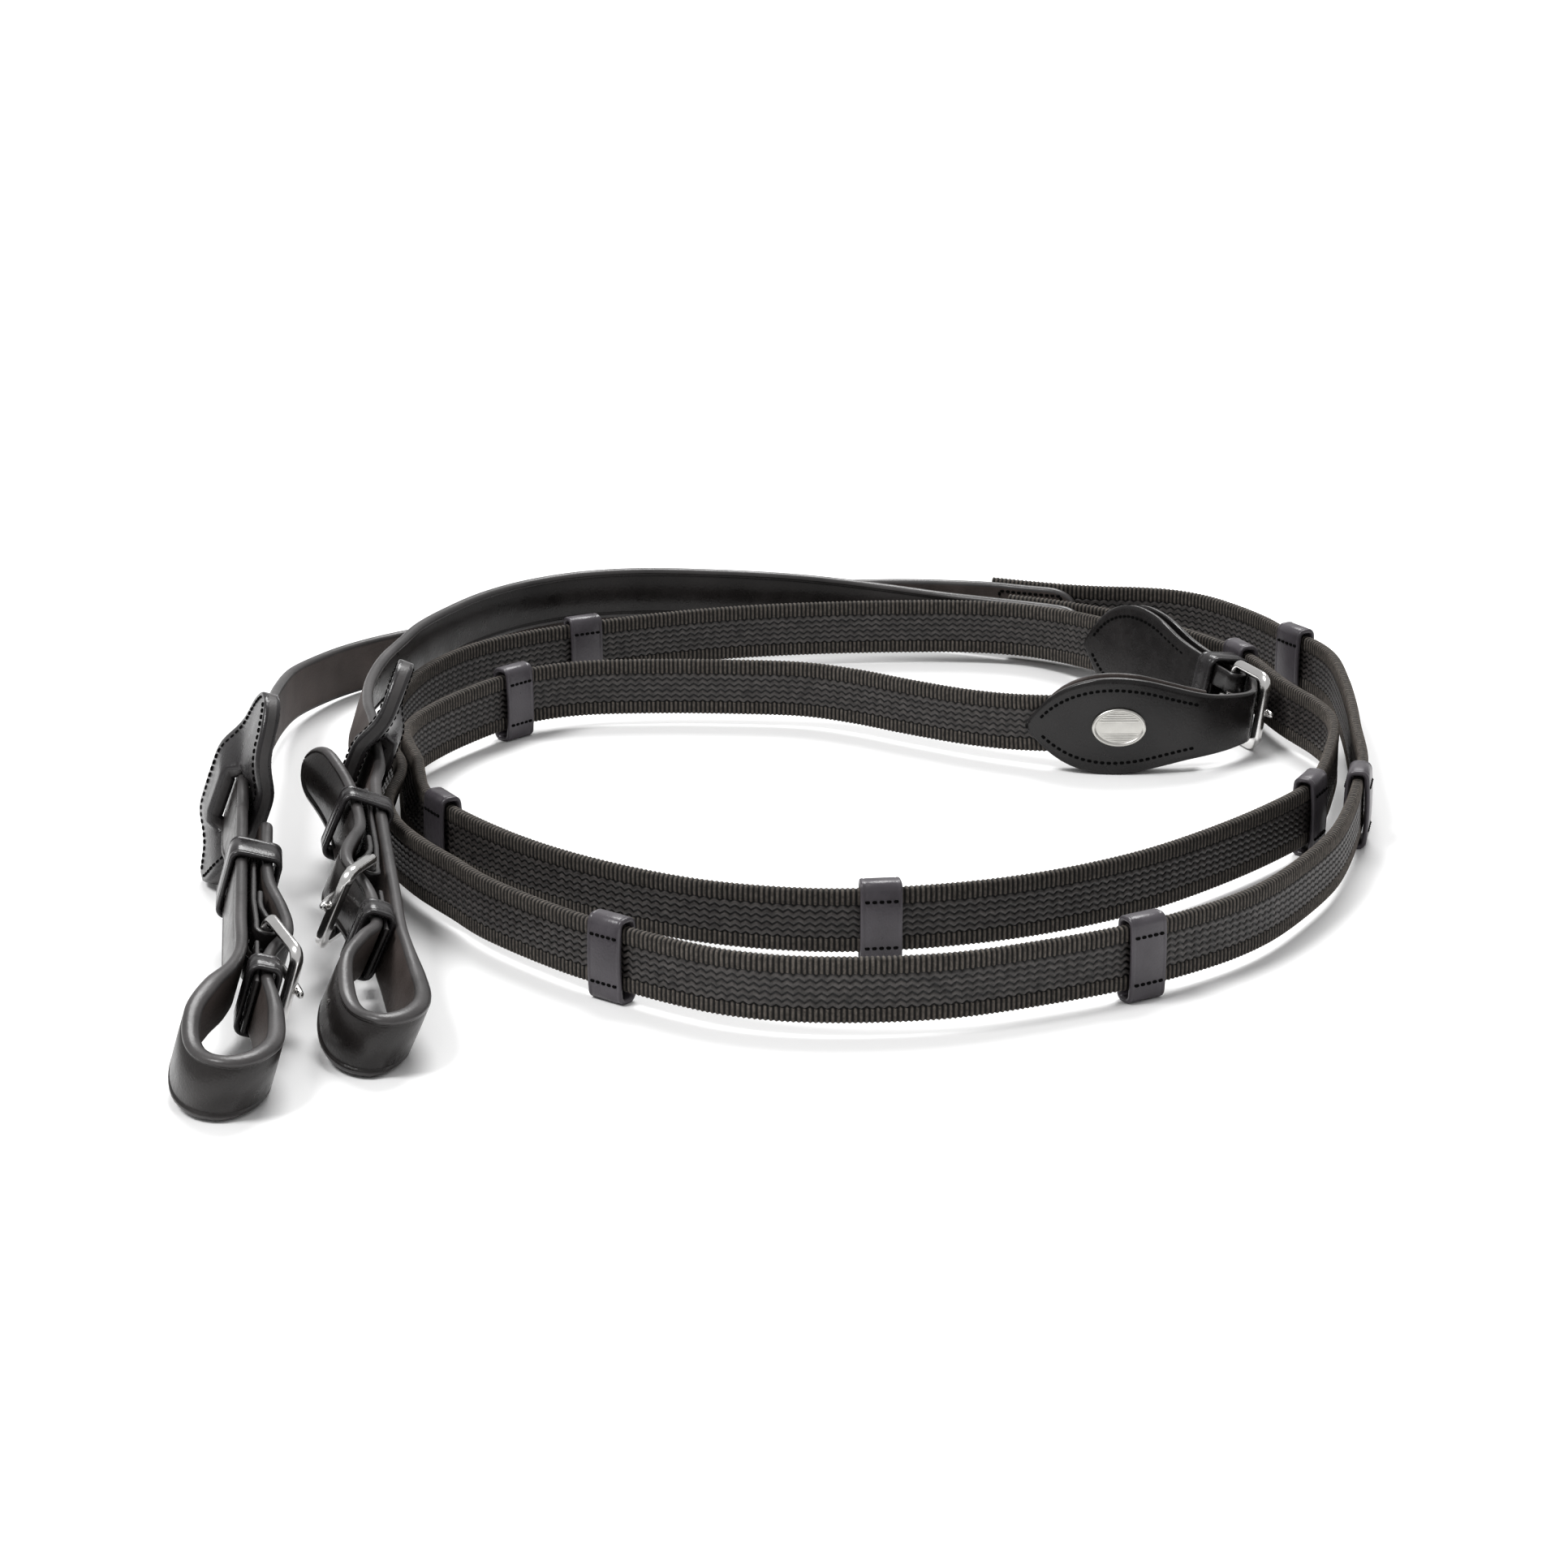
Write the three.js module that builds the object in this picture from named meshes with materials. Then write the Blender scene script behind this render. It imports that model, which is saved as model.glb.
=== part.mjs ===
// A pair of horse reins: grip webbing with leather hand stops, leather ends that carry the
// bit-end buckles and the martingale stops, and a centre buckle between two stitched leaves.
// The pair lies coiled up on a floor. Units are millimetres, +Z is up.
import * as THREE from 'three';

// ---------------------------------------------------------------- driving dimensions
const GAP = 0.3;                     // air left between two pieces that touch
const WEBBING = { width: 16, thick: 2.5 };
const STRAP = { width: 15, thick: 3.0 };
const CHAPE = { width: 13.6, thick: 1.2 };
const LEAF = { length: 62, buckleSide: 54, skin: 1.4, billet: 2.2 };
const BAR_RADIUS = 1.3;              // wire of every buckle frame
const TONGUE_RADIUS = 1.0;
const FRAME_HEIGHT = 22;             // across a buckle frame, along its bars
const STOP_LENGTH = 10;              // hand stop, along the webbing
const STOP_HEIGHT = 21.4;
const PLATE = { below: 22.7, above: 29.6, width: 29, thick: 4, slit: 8.9, bow: 4.1 };
const BADGE = { length: 15, height: 11, thick: 1.2 };
const BED_CENTRE = [4.23, -44.7];     // middle of the coiled pair on the floor
const STEP = 11;                     // longest facet along a strap
const TURN = 0.2;                    // most that one facet turns, in radians

// ---------------------------------------------------------------- routes
// One row is x, y, z of the strap's middle line, and the lean of its width off the vertical.
const REIN_1_WEBBING = [
  [64, 141.5, 11.2, 0, 0], [76, 137, 11.2, 0, 0], [87, 133.5, 11.2, 0, 0], [97, 131.5, 11.2, 0, 0],
  [107, 130.5, 11.2, 0, 0], [117, 128, 11.2, 0, 0], [126, 122, 11.2, 0, 0], [134, 112, 11.2, 0, 0],
  [142, 98, 11.2, 0, 0], [147.5, 84, 11.2, 0, 0], [153.5, 74, 11.2, 0, 0], [157, 61, 11.2, 0, 0],
  [157.5, 37, 11.2, 0, 0], [156.5, 14, 11.2, 0, 0], [155, -5, 11.2, 0, 0], [153, -33, 11.2, 0, 0],
  [150, -48, 11.2, 0, 0], [144.5, -71, 11.2, 0, 0], [137.5, -93, 11.2, 0, 0],
  [127, -114, 11.2, 0, 0], [117, -130, 11.2, 0, 0], [108, -140.5, 11.2, 0, 0],
  [99, -148.5, 11.2, 0, 0], [85, -158.5, 11.2, 0, 0], [63, -170, 11.2, 0, 0],
  [36, -180, 11.2, 0, 0], [6, -182, 11.2, 0, 0], [-12, -178, 11.2, 0, 0],
  [-25, -171, 11.2, 0, 0], [-40, -160, 11.2, 0, 0], [-51, -151, 11.2, 0, 0],
  [-72, -128, 11.2, 0, 0], [-81, -114, 11.2, 0, 0], [-90, -100, 11.2, 0, 0],
  [-97, -86, 11.2, 0, 0], [-101.5, -72, 11.2, 0.1, 0], [-103.4, -60, 11.2, 0.3, 0],
  [-102.6, -45, 11.2, 0.36, 0], [-103.4, -34, 11.2, 0.34, 0], [-106.4, -20, 11.2, 0.14, 0],
  [-108, -5, 11.2, 0.05, 0], [-107.6, 12, 11.2, 0, 0], [-106, 30, 11.2, 0, 0],
  [-101, 50, 11.2, 0, 0], [-90, 70, 11.2, 0, 0], [-75, 83, 11.2, 0, 0],
  [-58, 92.5, 11.2, 0, 0], [-40, 101, 11.2, 0, 0], [-16, 109, 11.2, 0, 0],
  [8, 113.5, 11.2, 0, 0], [33, 115.7, 11.2, 0, 0], [56, 115.5, 11.2, 0, 0],
  [71, 112, 11.2, 0, 0], [82, 104, 11.8, 0.05, 0.04], [93, 90, 13.2, 0.12, 0.08],
  [104, 75, 14.45, 0.15, 0.1], [113, 64.5, 13, 0.15, 0.1], [120.2, 56.4, 11.8, 0.15, 0.1],
  [123.4, 50.9, 11.4, 0.15, 0.1],
];
const REIN_2_WEBBING = [
  [68, 122.3, 11.2, 0, 0], [81, 116.6, 11.2, 0, 0], [95, 108, 11.2, 0, 0], [110, 94.5, 11.2, 0, 0],
  [123, 78.5, 11.2, 0, 0], [131, 65.5, 11.2, 0, 0], [135.2, 54, 11.2, 0, 0], [137.4, 45, 11.2, 0, 0],
  [139.4, 37.5, 11.2, 0, 0], [141.4, 31.2, 11.2, 0, 0], [144, 24.3, 11.2, 0, 0], [147.2, 15.5, 11.2, 0, 0],
  [149.4, 4, 11.2, 0, 0], [148.5, -9, 11.2, 0, 0], [145.5, -24, 11.2, 0, 0],
  [141, -42, 11.2, 0, 0], [136, -56, 11.2, 0, 0], [124, -73, 11.2, 0, 0],
  [105, -94, 11.2, 0, 0], [87, -110, 11.2, 0, 0], [66, -123, 11.2, 0, 0],
  [46, -131, 11.2, 0, 0], [22, -136, 11.2, 0, 0], [4, -136, 11.2, 0, 0],
  [-20, -130, 11.2, 0, 0], [-45, -116, 11.2, 0, 0], [-66, -98, 11.2, 0, 0],
  [-85, -74, 11.2, 0, 0], [-92.5, -60, 11.2, 0.03, 0], [-96.9, -45, 11.2, 0.27, 0],
  [-98.6, -33, 11.2, 0.27, 0], [-101, -20, 11.2, 0.12, 0], [-102, -9, 11.2, 0, 0], [-100, 3, 11.2, 0, 0],
  [-95, 15, 11.2, 0, 0], [-88, 27, 11.2, 0, 0], [-80, 38, 11.2, 0, 0],
  [-70.5, 47, 11.2, 0, 0], [-58, 52.5, 11.2, 0, 0], [-40, 54.5, 11.2, 0, 0],
  [-14, 54, 11.2, 0, 0], [6, 51.5, 11.2, 0, 0], [20, 45, 11.2, 0, 0], [35, 35, 11.2, 0, 0],
  [51, 25, 11.4, 0, 0], [64, 18.5, 12, 0, 0], [78, 13.2, 13.2, 0, 0], [93, 11.2, 13.9, 0, 0],
  [108, 13, 13.4, 0.03, 0], [118, 15.8, 12.6, 0.08, 0.04], [125.4, 20, 12, 0.13, 0.08],
  [129.4, 25.2, 11.6, 0.15, 0.1], [130.5, 31.5, 11.4, 0.15, 0.1], [131, 38.5, 11.4, 0.15, 0.1],
  [131.4, 46.2, 11.4, 0.15, 0.1],
  [127.9, 53.6, 11.4, 0.15, 0.1], [124.4, 60, 11.4, 0.15, 0.1], [120.9, 66.8, 11.4, 0.15, 0.1],
];
// The leather of each rein from its martingale stop to the grip webbing.
const REIN_1_LEATHER = [
  [-136.4, -98, 20.6, 0.37, 0], [-138.5, -80, 22.3, 0.37, 0], [-139.6, -62, 21.6, 0.36, 0],
  [-140.2, -38, 18.8, 0.26, 0], [-140.8, 0, 15.4, 0.12, 0], [-141.2, 30, 12.4, 0.05, 0],
  [-139.6, 50, 10.6, 0, 0], [-135, 65, 9.4, 0, 0], [-128, 79, 8.6, 0, 0], [-118, 91, 8.2, 0, 0],
  [-104, 101.5, 8.2, 0, 0], [-80, 115, 8.2, 0, 0], [-52, 130, 8.4, 0, 0], [-24, 139.5, 9, 0, 0],
  [10, 143.5, 10, 0, 0], [38, 143, 10.8, 0, 0],
];
const REIN_2_LEATHER = [
  [-105.6, -66, 20.6, 0.37, 0], [-108.2, -50, 22, 0.4, 0], [-110.2, -34, 22.3, 0.4, 0],
  [-113.4, -16, 22, 0.36, 0], [-114.6, 4, 21.6, 0.3, 0], [-112.4, 26, 21.6, 0.2, 0],
  [-108, 44, 21.6, 0.1, 0], [-104, 59, 21.4, 0, 0], [-97.5, 76, 21, 0, 0], [-88.5, 92, 21, 0, 0],
  [-77, 107, 20.4, 0, 0], [-62, 118, 20, 0, 0], [-45, 125, 19.2, 0, 0], [-22, 129.5, 17.6, 0, 0],
  [4, 132, 15.4, 0, 0], [29, 131, 12.8, 0, 0], [48, 127.2, 11.2, 0, 0],
];
const WEBBING_LAP = 27;              // leather sewn along the webbing's start
const HAND_STOPS_1 = [113, 245.5, 378, 513, 806];
const HAND_STOPS_2 = [87.5, 212, 356, 491, 613];

// ---------------------------------------------------------------- routes as curves
const UP = new THREE.Vector3(0, 0, 1);
const vec = (x, y, z) => new THREE.Vector3(x, y, z);

class Route {
  // rows: [x, y, z, leanX, leanY], in the order of travel
  constructor(rows, perSpan = 24) {
    const middle = new THREE.CatmullRomCurve3(rows.map((r) => vec(r[0], r[1], r[2])), false, 'centripetal');
    const lean = new THREE.CatmullRomCurve3(rows.map((r) => vec(r[3], r[4], 1)), false, 'catmullrom');
    const count = (rows.length - 1) * perSpan;
    this.points = [];
    this.ups = [];
    this.lengths = [0];
    for (let i = 0; i <= count; i += 1) {
      this.points.push(middle.getPoint(i / count));
      this.ups.push(lean.getPoint(i / count).normalize());
      if (i > 0) {
        this.lengths.push(this.lengths[i - 1] + this.points[i].distanceTo(this.points[i - 1]));
      }
    }
    this.length = this.lengths[count];
  }

  index(s) {
    let i = 1;
    while (i < this.lengths.length - 1 && this.lengths[i] < s) i += 1;
    return i;
  }

  // the strap's frame at distance s: t along, n to the right of travel, w across its width
  frame(s) {
    const i = this.index(s);
    const k = (s - this.lengths[i - 1]) / (this.lengths[i] - this.lengths[i - 1]);
    const p = this.points[i - 1].clone().lerp(this.points[i], k);
    const before = this.points[Math.max(i - 2, 0)];
    const after = this.points[Math.min(i + 1, this.points.length - 1)];
    const t = after.clone().sub(before).normalize();
    const up = this.ups[i - 1].clone().lerp(this.ups[i], k);
    const n = t.clone().cross(up).normalize();
    const w = n.clone().cross(t).normalize();
    return { p, t, n, w };
  }

  at(s, n = 0, w = 0) {
    const f = this.frame(s);
    return f.p.clone().addScaledVector(f.n, n).addScaledVector(f.w, w);
  }

  // distances from s0 to s1, closer together where the strap bends
  stations(s0, s1, step = STEP, turn = TURN) {
    const list = [s0];
    const fine = 0.5;
    let last = this.frame(s0).t;
    for (let s = s0 + fine; s < s1 - fine; s += fine) {
      const t = this.frame(s).t;
      if (s - list[list.length - 1] >= step || t.angleTo(last) >= turn) {
        list.push(s);
        last = t;
      }
    }
    list.push(s1);
    return list;
  }
}

// ---------------------------------------------------------------- closed meshes
function closedGeometry(vertices, triangles) {
  let volume = 0;
  for (const [a, b, c] of triangles) {
    volume += vertices[a].dot(vertices[b].clone().cross(vertices[c]));
  }
  const geometry = new THREE.BufferGeometry();
  const flat = vertices.flatMap((v) => [v.x, v.y, v.z]);
  const index = triangles.flatMap(([a, b, c]) => (volume > 0 ? [a, b, c] : [a, c, b]));
  geometry.setAttribute('position', new THREE.Float32BufferAttribute(flat, 3));
  geometry.setIndex(index);
  geometry.computeVertexNormals();
  return geometry;
}

// A sheet of leather: columns[i][j] = { p, n }, the point and the face direction there.
// open(i, j) says that the cell between i, i + 1 and j, j + 1 is cut away.
function sheet(columns, thick, open = () => false) {
  const rows = columns[0].length;
  const vertices = [];
  const id = (i, j, side) => 2 * (i * rows + j) + side;
  for (const column of columns) {
    for (const { p, n } of column) {
      vertices.push(p.clone().addScaledVector(n, thick / 2), p.clone().addScaledVector(n, -thick / 2));
    }
  }
  const triangles = [];
  const quad = (a, b, c, d) => triangles.push([a, b, c], [a, c, d]);
  const solid = (i, j) => i >= 0 && j >= 0 && i < columns.length - 1 && j < rows - 1 && !open(i, j);
  for (let i = 0; i < columns.length - 1; i += 1) {
    for (let j = 0; j < rows - 1; j += 1) {
      if (!solid(i, j)) continue;
      quad(id(i, j, 0), id(i + 1, j, 0), id(i + 1, j + 1, 0), id(i, j + 1, 0));
      quad(id(i, j, 1), id(i, j + 1, 1), id(i + 1, j + 1, 1), id(i + 1, j, 1));
      if (!solid(i, j - 1)) quad(id(i, j, 1), id(i + 1, j, 1), id(i + 1, j, 0), id(i, j, 0));
      if (!solid(i, j + 1)) quad(id(i + 1, j + 1, 1), id(i, j + 1, 1), id(i, j + 1, 0), id(i + 1, j + 1, 0));
      if (!solid(i - 1, j)) quad(id(i, j + 1, 1), id(i, j, 1), id(i, j, 0), id(i, j + 1, 0));
      if (!solid(i + 1, j)) quad(id(i + 1, j, 1), id(i + 1, j + 1, 1), id(i + 1, j + 1, 0), id(i + 1, j, 0));
    }
  }
  const used = new Map();
  const kept = [];
  const packed = triangles.map((triangle) => triangle.map((v) => {
    if (!used.has(v)) {
      used.set(v, kept.length);
      kept.push(vertices[v]);
    }
    return used.get(v);
  }));
  return closedGeometry(kept, packed);
}

// A strip that follows a route, with its face offset and its half width as functions of s.
function strip(route, distances, { thick, half, offset = () => 0, across = [-1, 1], open, frameAt }) {
  const columns = distances.map((s) => {
    const f = frameAt ? frameAt(s) : route.frame(s);
    return across.map((share) => {
      const w = typeof share === 'function' ? share(s) : share * half(s);
      return { p: f.p.clone().addScaledVector(f.n, offset(s)).addScaledVector(f.w, w), n: f.n };
    });
  });
  return sheet(columns, thick, open);
}

// A sleeve: rings of matching outer and inner points, closed at both ends.
function sleeve(rings) {
  const count = rings[0].outer.length;
  const vertices = rings.flatMap((ring) => [...ring.outer, ...ring.inner]);
  const id = (i, j, inner) => i * 2 * count + (inner ? count : 0) + (j % count);
  const triangles = [];
  const quad = (a, b, c, d) => triangles.push([a, b, c], [a, c, d]);
  for (let j = 0; j < count; j += 1) {
    for (let i = 0; i < rings.length - 1; i += 1) {
      quad(id(i, j, false), id(i, j + 1, false), id(i + 1, j + 1, false), id(i + 1, j, false));
      quad(id(i, j, true), id(i + 1, j, true), id(i + 1, j + 1, true), id(i, j + 1, true));
    }
    const last = rings.length - 1;
    quad(id(0, j, true), id(0, j + 1, true), id(0, j + 1, false), id(0, j, false));
    quad(id(last, j, false), id(last, j + 1, false), id(last, j + 1, true), id(last, j, true));
  }
  return closedGeometry(vertices, triangles);
}

// Round wire through points, open with flat ends or closed on itself.
function wire(points, radius, closed, sides = 8) {
  const count = points.length;
  const tangent = (i) => {
    const before = points[closed ? (i + count - 1) % count : Math.max(i - 1, 0)];
    const after = points[closed ? (i + 1) % count : Math.min(i + 1, count - 1)];
    return after.clone().sub(before).normalize();
  };
  let normal = tangent(0).cross(Math.abs(tangent(0).z) > 0.9 ? vec(1, 0, 0) : UP).normalize();
  const vertices = [];
  for (let i = 0; i < count; i += 1) {
    const t = tangent(i);
    normal = normal.clone().addScaledVector(t, -normal.dot(t)).normalize();
    const other = t.clone().cross(normal);
    for (let k = 0; k < sides; k += 1) {
      const angle = (2 * Math.PI * k) / sides;
      vertices.push(points[i].clone()
        .addScaledVector(normal, radius * Math.cos(angle))
        .addScaledVector(other, radius * Math.sin(angle)));
    }
  }
  const triangles = [];
  const id = (i, k) => (i % count) * sides + (k % sides);
  for (let i = 0; i < (closed ? count : count - 1); i += 1) {
    for (let k = 0; k < sides; k += 1) {
      triangles.push([id(i, k), id(i, k + 1), id(i + 1, k + 1)], [id(i, k), id(i + 1, k + 1), id(i + 1, k)]);
    }
  }
  if (!closed) {
    for (let k = 1; k < sides - 1; k += 1) {
      triangles.push([id(0, 0), id(0, k + 1), id(0, k)]);
      triangles.push([id(count - 1, 0), id(count - 1, k), id(count - 1, k + 1)]);
    }
  }
  return closedGeometry(vertices, triangles);
}

// ---------------------------------------------------------------- sections
// The section of a hand stop, walked round in four quarters: n is through the strap and w is
// across it. Its lower and upper edges are narrow flats, and the lower one rests on the floor.
function stopSection(half, bulge, wHalf, flat) {
  const side = [[half + bulge, 0], [half, 0.7 * wHalf], [0.8 * half, 0.88 * wHalf], [flat, wHalf]];
  const quarter = (n, w) => side.map((point) => [n * point[0], w * point[1]]);
  return [
    ...quarter(-1, 1), ...quarter(1, 1).reverse(),
    ...quarter(1, -1).slice(1), ...quarter(-1, -1).slice(1).reverse(),
  ];
}

function handStop(route, s) {
  const half = STOP_LENGTH / 2;
  const nIn = WEBBING.thick / 2 + 0.5;
  const wIn = WEBBING.width / 2 + 0.45;
  const lift = -0.5;
  const outer = stopSection(nIn + 1.05, 0.3, STOP_HEIGHT / 2, 1.1);
  const inner = outer.map(([n, w]) => {
    const level = Math.abs(w) / (STOP_HEIGHT / 2);
    return [Math.sign(n) * (level > 0.95 ? 0.4 : 1) * nIn, Math.sign(w) * Math.min(1, level / 0.85) * wIn];
  });
  return sleeve([-half, 0, half].map((ds) => ({
    outer: outer.map(([n, w]) => route.at(s + ds, n, w + lift)),
    inner: inner.map(([n, w]) => route.at(s + ds, n, w)),
  })));
}

// ---------------------------------------------------------------- bit ends
// Local directions of a bit end: a runs up the strap away from the bit, n towards the
// billet, h up the strap's width. side is +1 where the billet lies on the right.
class BitEnd {
  constructor({ origin, heading, slope, lean, side }) {
    this.origin = vec(...origin);
    this.a = vec(heading[0], heading[1], 0).normalize().setZ(slope).normalize();
    const tilted = vec(lean[0], lean[1], 1);
    const right = this.a.clone().cross(tilted).normalize();
    this.h = right.clone().cross(this.a).normalize();
    this.n = right.multiplyScalar(side);
  }

  at(a, n, h = 0) {
    return this.origin.clone().addScaledVector(this.a, a).addScaledVector(this.n, n)
      .addScaledVector(this.h, h);
  }

  // a route's row here; the bit loop rests on the floor at its front and climbs to the keeper
  row(a, n) {
    const p = this.at(a, n);
    const rest = 7.75;
    const share = THREE.MathUtils.smoothstep(a, 0, 38);
    return [p.x, p.y, rest + (p.z - rest) * share, this.h.x / this.h.z, this.h.y / this.h.z];
  }

  direction(da, dn) {
    return this.a.clone().multiplyScalar(da).addScaledVector(this.n, dn).normalize();
  }
}

const BIT_1 = {
  end: new BitEnd({ origin: [-120, -232, 10.4], heading: [-0.12, 0.993], slope: 0.078, lean: [0.3, -0.04], side: 1 }),
  loop: [[45, 6.2], [38, 6.4], [31, 7.7], [24, 8.7], [12, 8.5], [6, 6.4], [1.6, 2.7], [0, -1.5], [1.6, -5.9],
    [6, -9.6], [12, -11.5], [22, -11], [32, -7], [42, -2.2], [52, 0]],
  billet: [[133, 6.4], [118, 6.2], [104, 6.2], [92, 7], [81, 9.6], [72, 11], [66, 10.9], [61, 9.3], [57, 7.9],
    [51, 6.5]],
  straight: [[70, 0], [90, 0], [112, 0], [132, 0]],
  hinge: [66, 6.1],
  front: [49.2, 12.8],
  loopCentre: -1.5,
  lowerKeeper: [39.5, 47],
  upperKeeper: [101, 111],
  keeperTop: 8.6,
};
const BIT_2 = {
  end: new BitEnd({ origin: [-84.5, -206, 7.7], heading: [-0.163, 0.987], slope: 0.092, lean: [0.43, 0], side: -1 }),
  loop: [[45, 6.3], [36, 10.4], [25, 15.3], [14, 16.4], [7, 14.6], [2, 11], [0, 6.6], [2, 2], [7, -1.6],
    [14, -3.2], [25, -2.8], [37, -1], [48, 0]],
  billet: [[149, 14.8], [140, 11.2], [130, 8.4], [121, 7], [110, 6.3], [100, 6.6], [91, 9.2], [82, 11.3], [76, 11.3],
    [71, 9.4], [67, 7.9], [61, 6.5], [53, 6.2]],
  straight: [[66, 0], [90, 0], [112, 0], [132, 0]],
  hinge: [76, 6.1],
  front: [61, 13.4],
  loopCentre: 6.6,
  lowerKeeper: [46, 53.5],
  upperKeeper: [112, 119],
  keeperTop: 9.2,
};

const SLOT_HALF = 1.9;               // half width of the slots that a tongue stands in

function bitStrapRows(bit, worldRows) {
  const local = [...bit.billet, ...bit.loop, ...bit.straight];
  return [...local.map(([a, n]) => bit.end.row(a, n)), ...worldRows];
}

// Distance along a route of the point that lies nearest to p.
function nearest(route, p, from = 0, to = route.length) {
  let best = from;
  for (let s = from; s <= to; s += 0.5) {
    if (route.at(s).distanceTo(p) < route.at(best).distanceTo(p)) best = s;
  }
  return best;
}

function bitStrap(bit, route, lapStart) {
  const hinge = bit.end.at(bit.hinge[0], bit.hinge[1] + 3.5);
  const slotMiddle = nearest(route, hinge, 0, 100);
  const slot = [slotMiddle - 2.2, slotMiddle + 8.6];
  const front = nearest(route, bit.end.at(0, bit.loopCentre), 0, 200);
  const bearing = 2;                 // half length of the flat that the bit ring bears on
  const frontFrame = route.frame(front);
  const frameAt = (s) => (Math.abs(s - front) > bearing + 0.01 ? route.frame(s)
    : { ...frontFrame, p: frontFrame.p.clone().addScaledVector(frontFrame.t, s - front) });
  const tip = 9;
  const half = (s) => {
    const fromTip = Math.min(s / tip, 1);
    const fromEnd = Math.min((route.length - s) / tip, 1);
    const share = Math.min(fromTip, fromEnd);
    return (STRAP.width / 2) * (0.25 + 0.75 * Math.sqrt(1 - (1 - share) ** 2));
  };
  const tips = [0, 2, 5, 9];
  const distances = [
    ...tips,
    ...route.stations(13, slot[0] - 3), ...route.stations(slot[0], slot[1], 4),
    ...route.stations(slot[1] + 3, front - bearing - 2), front - bearing, front + bearing,
    ...route.stations(front + bearing + 2, lapStart),
    ...route.stations(lapStart + 5, route.length - tip),
    ...tips.slice(0, 3).reverse().map((t) => route.length - t),
  ];
  const inSlot = (i, j) => j === 1 && distances[i] >= slot[0] && distances[i + 1] <= slot[1];
  return strip(route, distances, {
    thick: STRAP.thick,
    half,
    frameAt,
    across: [-1, () => -SLOT_HALF * 0.9, () => SLOT_HALF * 0.9, 1],
    open: inSlot,
  });
}

// The chape: one strip folded round the hinge bar, with a slot where the tongue hangs.
function bitChape(bit) {
  const [hingeA, hingeN] = bit.hinge;
  const fold = BAR_RADIUS + GAP + CHAPE.thick / 2;
  const near = 3.9;
  const path = [];
  const push = (a, n, da, dn) => path.push({ a, n, da, dn });
  for (const ahead of [50, 40, 26, 14]) push(hingeA + ahead, near, 0, -1);
  for (const ahead of [6, 2]) push(hingeA + ahead, hingeN - fold, 0, -1);
  const turns = 8;
  for (let k = 0; k <= turns; k += 1) {
    const angle = -Math.PI / 2 - (Math.PI * k) / turns;
    push(hingeA + fold * Math.cos(angle), hingeN + fold * Math.sin(angle), Math.cos(angle), Math.sin(angle));
  }
  push(hingeA + 2, hingeN + fold, 0, 1);
  push(hingeA + 6, hingeN + fold - 0.5, 0.14, 1);
  push(hingeA + 11.5, near + CHAPE.thick + GAP + 0.25, 0.1, 1);
  push(hingeA + 20, near + CHAPE.thick + GAP, 0, 1);
  const columns = path.map(({ a, n, da, dn }) => [-1, -SLOT_HALF / (CHAPE.width / 2),
    SLOT_HALF / (CHAPE.width / 2), 1].map((share) => ({
    p: bit.end.at(a, n, share * (CHAPE.width / 2)), n: bit.end.direction(da, dn),
  })));
  const slotAhead = 7;
  const open = (i, j) => j === 1 && path[i].a < hingeA + slotAhead && path[i + 1].a < hingeA + slotAhead;
  return sheet(columns, CHAPE.thick, open);
}

function keeperTab(bit) {
  const [from, to] = [bit.lowerKeeper[0] - 3, bit.lowerKeeper[1] + 11];
  const columns = [from, (from + to) / 2, to].map((a) => [-1, 1].map((share) => ({
    p: bit.end.at(a, 3.9, share * (CHAPE.width / 2)), n: bit.end.direction(0, 1),
  })));
  return sheet(columns, CHAPE.thick);
}

function bitKeeper(bit, [from, to], nLow, nHigh) {
  const wall = 1.2;
  const wIn = STRAP.width / 2 + 0.5;
  const round = 0.35;
  const inner = [[nLow, 0], [nLow, wIn], [(nLow + nHigh) / 2, wIn], [nHigh, wIn],
    [nHigh, 0], [nHigh, -wIn], [(nLow + nHigh) / 2, -wIn], [nLow, -wIn]];
  const outer = [[nLow - wall, 0], [nLow - wall + round, wIn + wall - round],
    [(nLow + nHigh) / 2, wIn + wall], [nHigh + wall - round, wIn + wall - round],
    [nHigh + wall, 0], [nHigh + wall - round, -wIn - wall + round],
    [(nLow + nHigh) / 2, -wIn - wall], [nLow - wall + round, -wIn - wall + round]];
  return sleeve([from, to].map((a) => ({
    outer: outer.map(([n, h]) => bit.end.at(a, n, h)),
    inner: inner.map(([n, h]) => bit.end.at(a, n, h)),
  })));
}

// ---------------------------------------------------------------- buckles
// A frame is a rounded rectangle of wire; place(u, v) gives the point u along the buckle
// from the hinge bar to the front bar and v up the bars.
function buckleFrame(place, spacing, half) {
  const corner = 2.6;
  const arc = 4;
  const points = [];
  const corners = [[0, -half, 1, 1, 180], [spacing, -half, -1, 1, 270], [spacing, half, -1, -1, 0],
    [0, half, 1, -1, 90]];
  for (const [u, v, su, sv, start] of corners) {
    for (let k = 0; k <= arc; k += 1) {
      const angle = THREE.MathUtils.degToRad(start + (90 * k) / arc);
      points.push(place(u + su * corner + corner * Math.cos(angle), v + sv * corner + corner * Math.sin(angle)));
    }
  }
  return wire(points, BAR_RADIUS, true);
}

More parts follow.
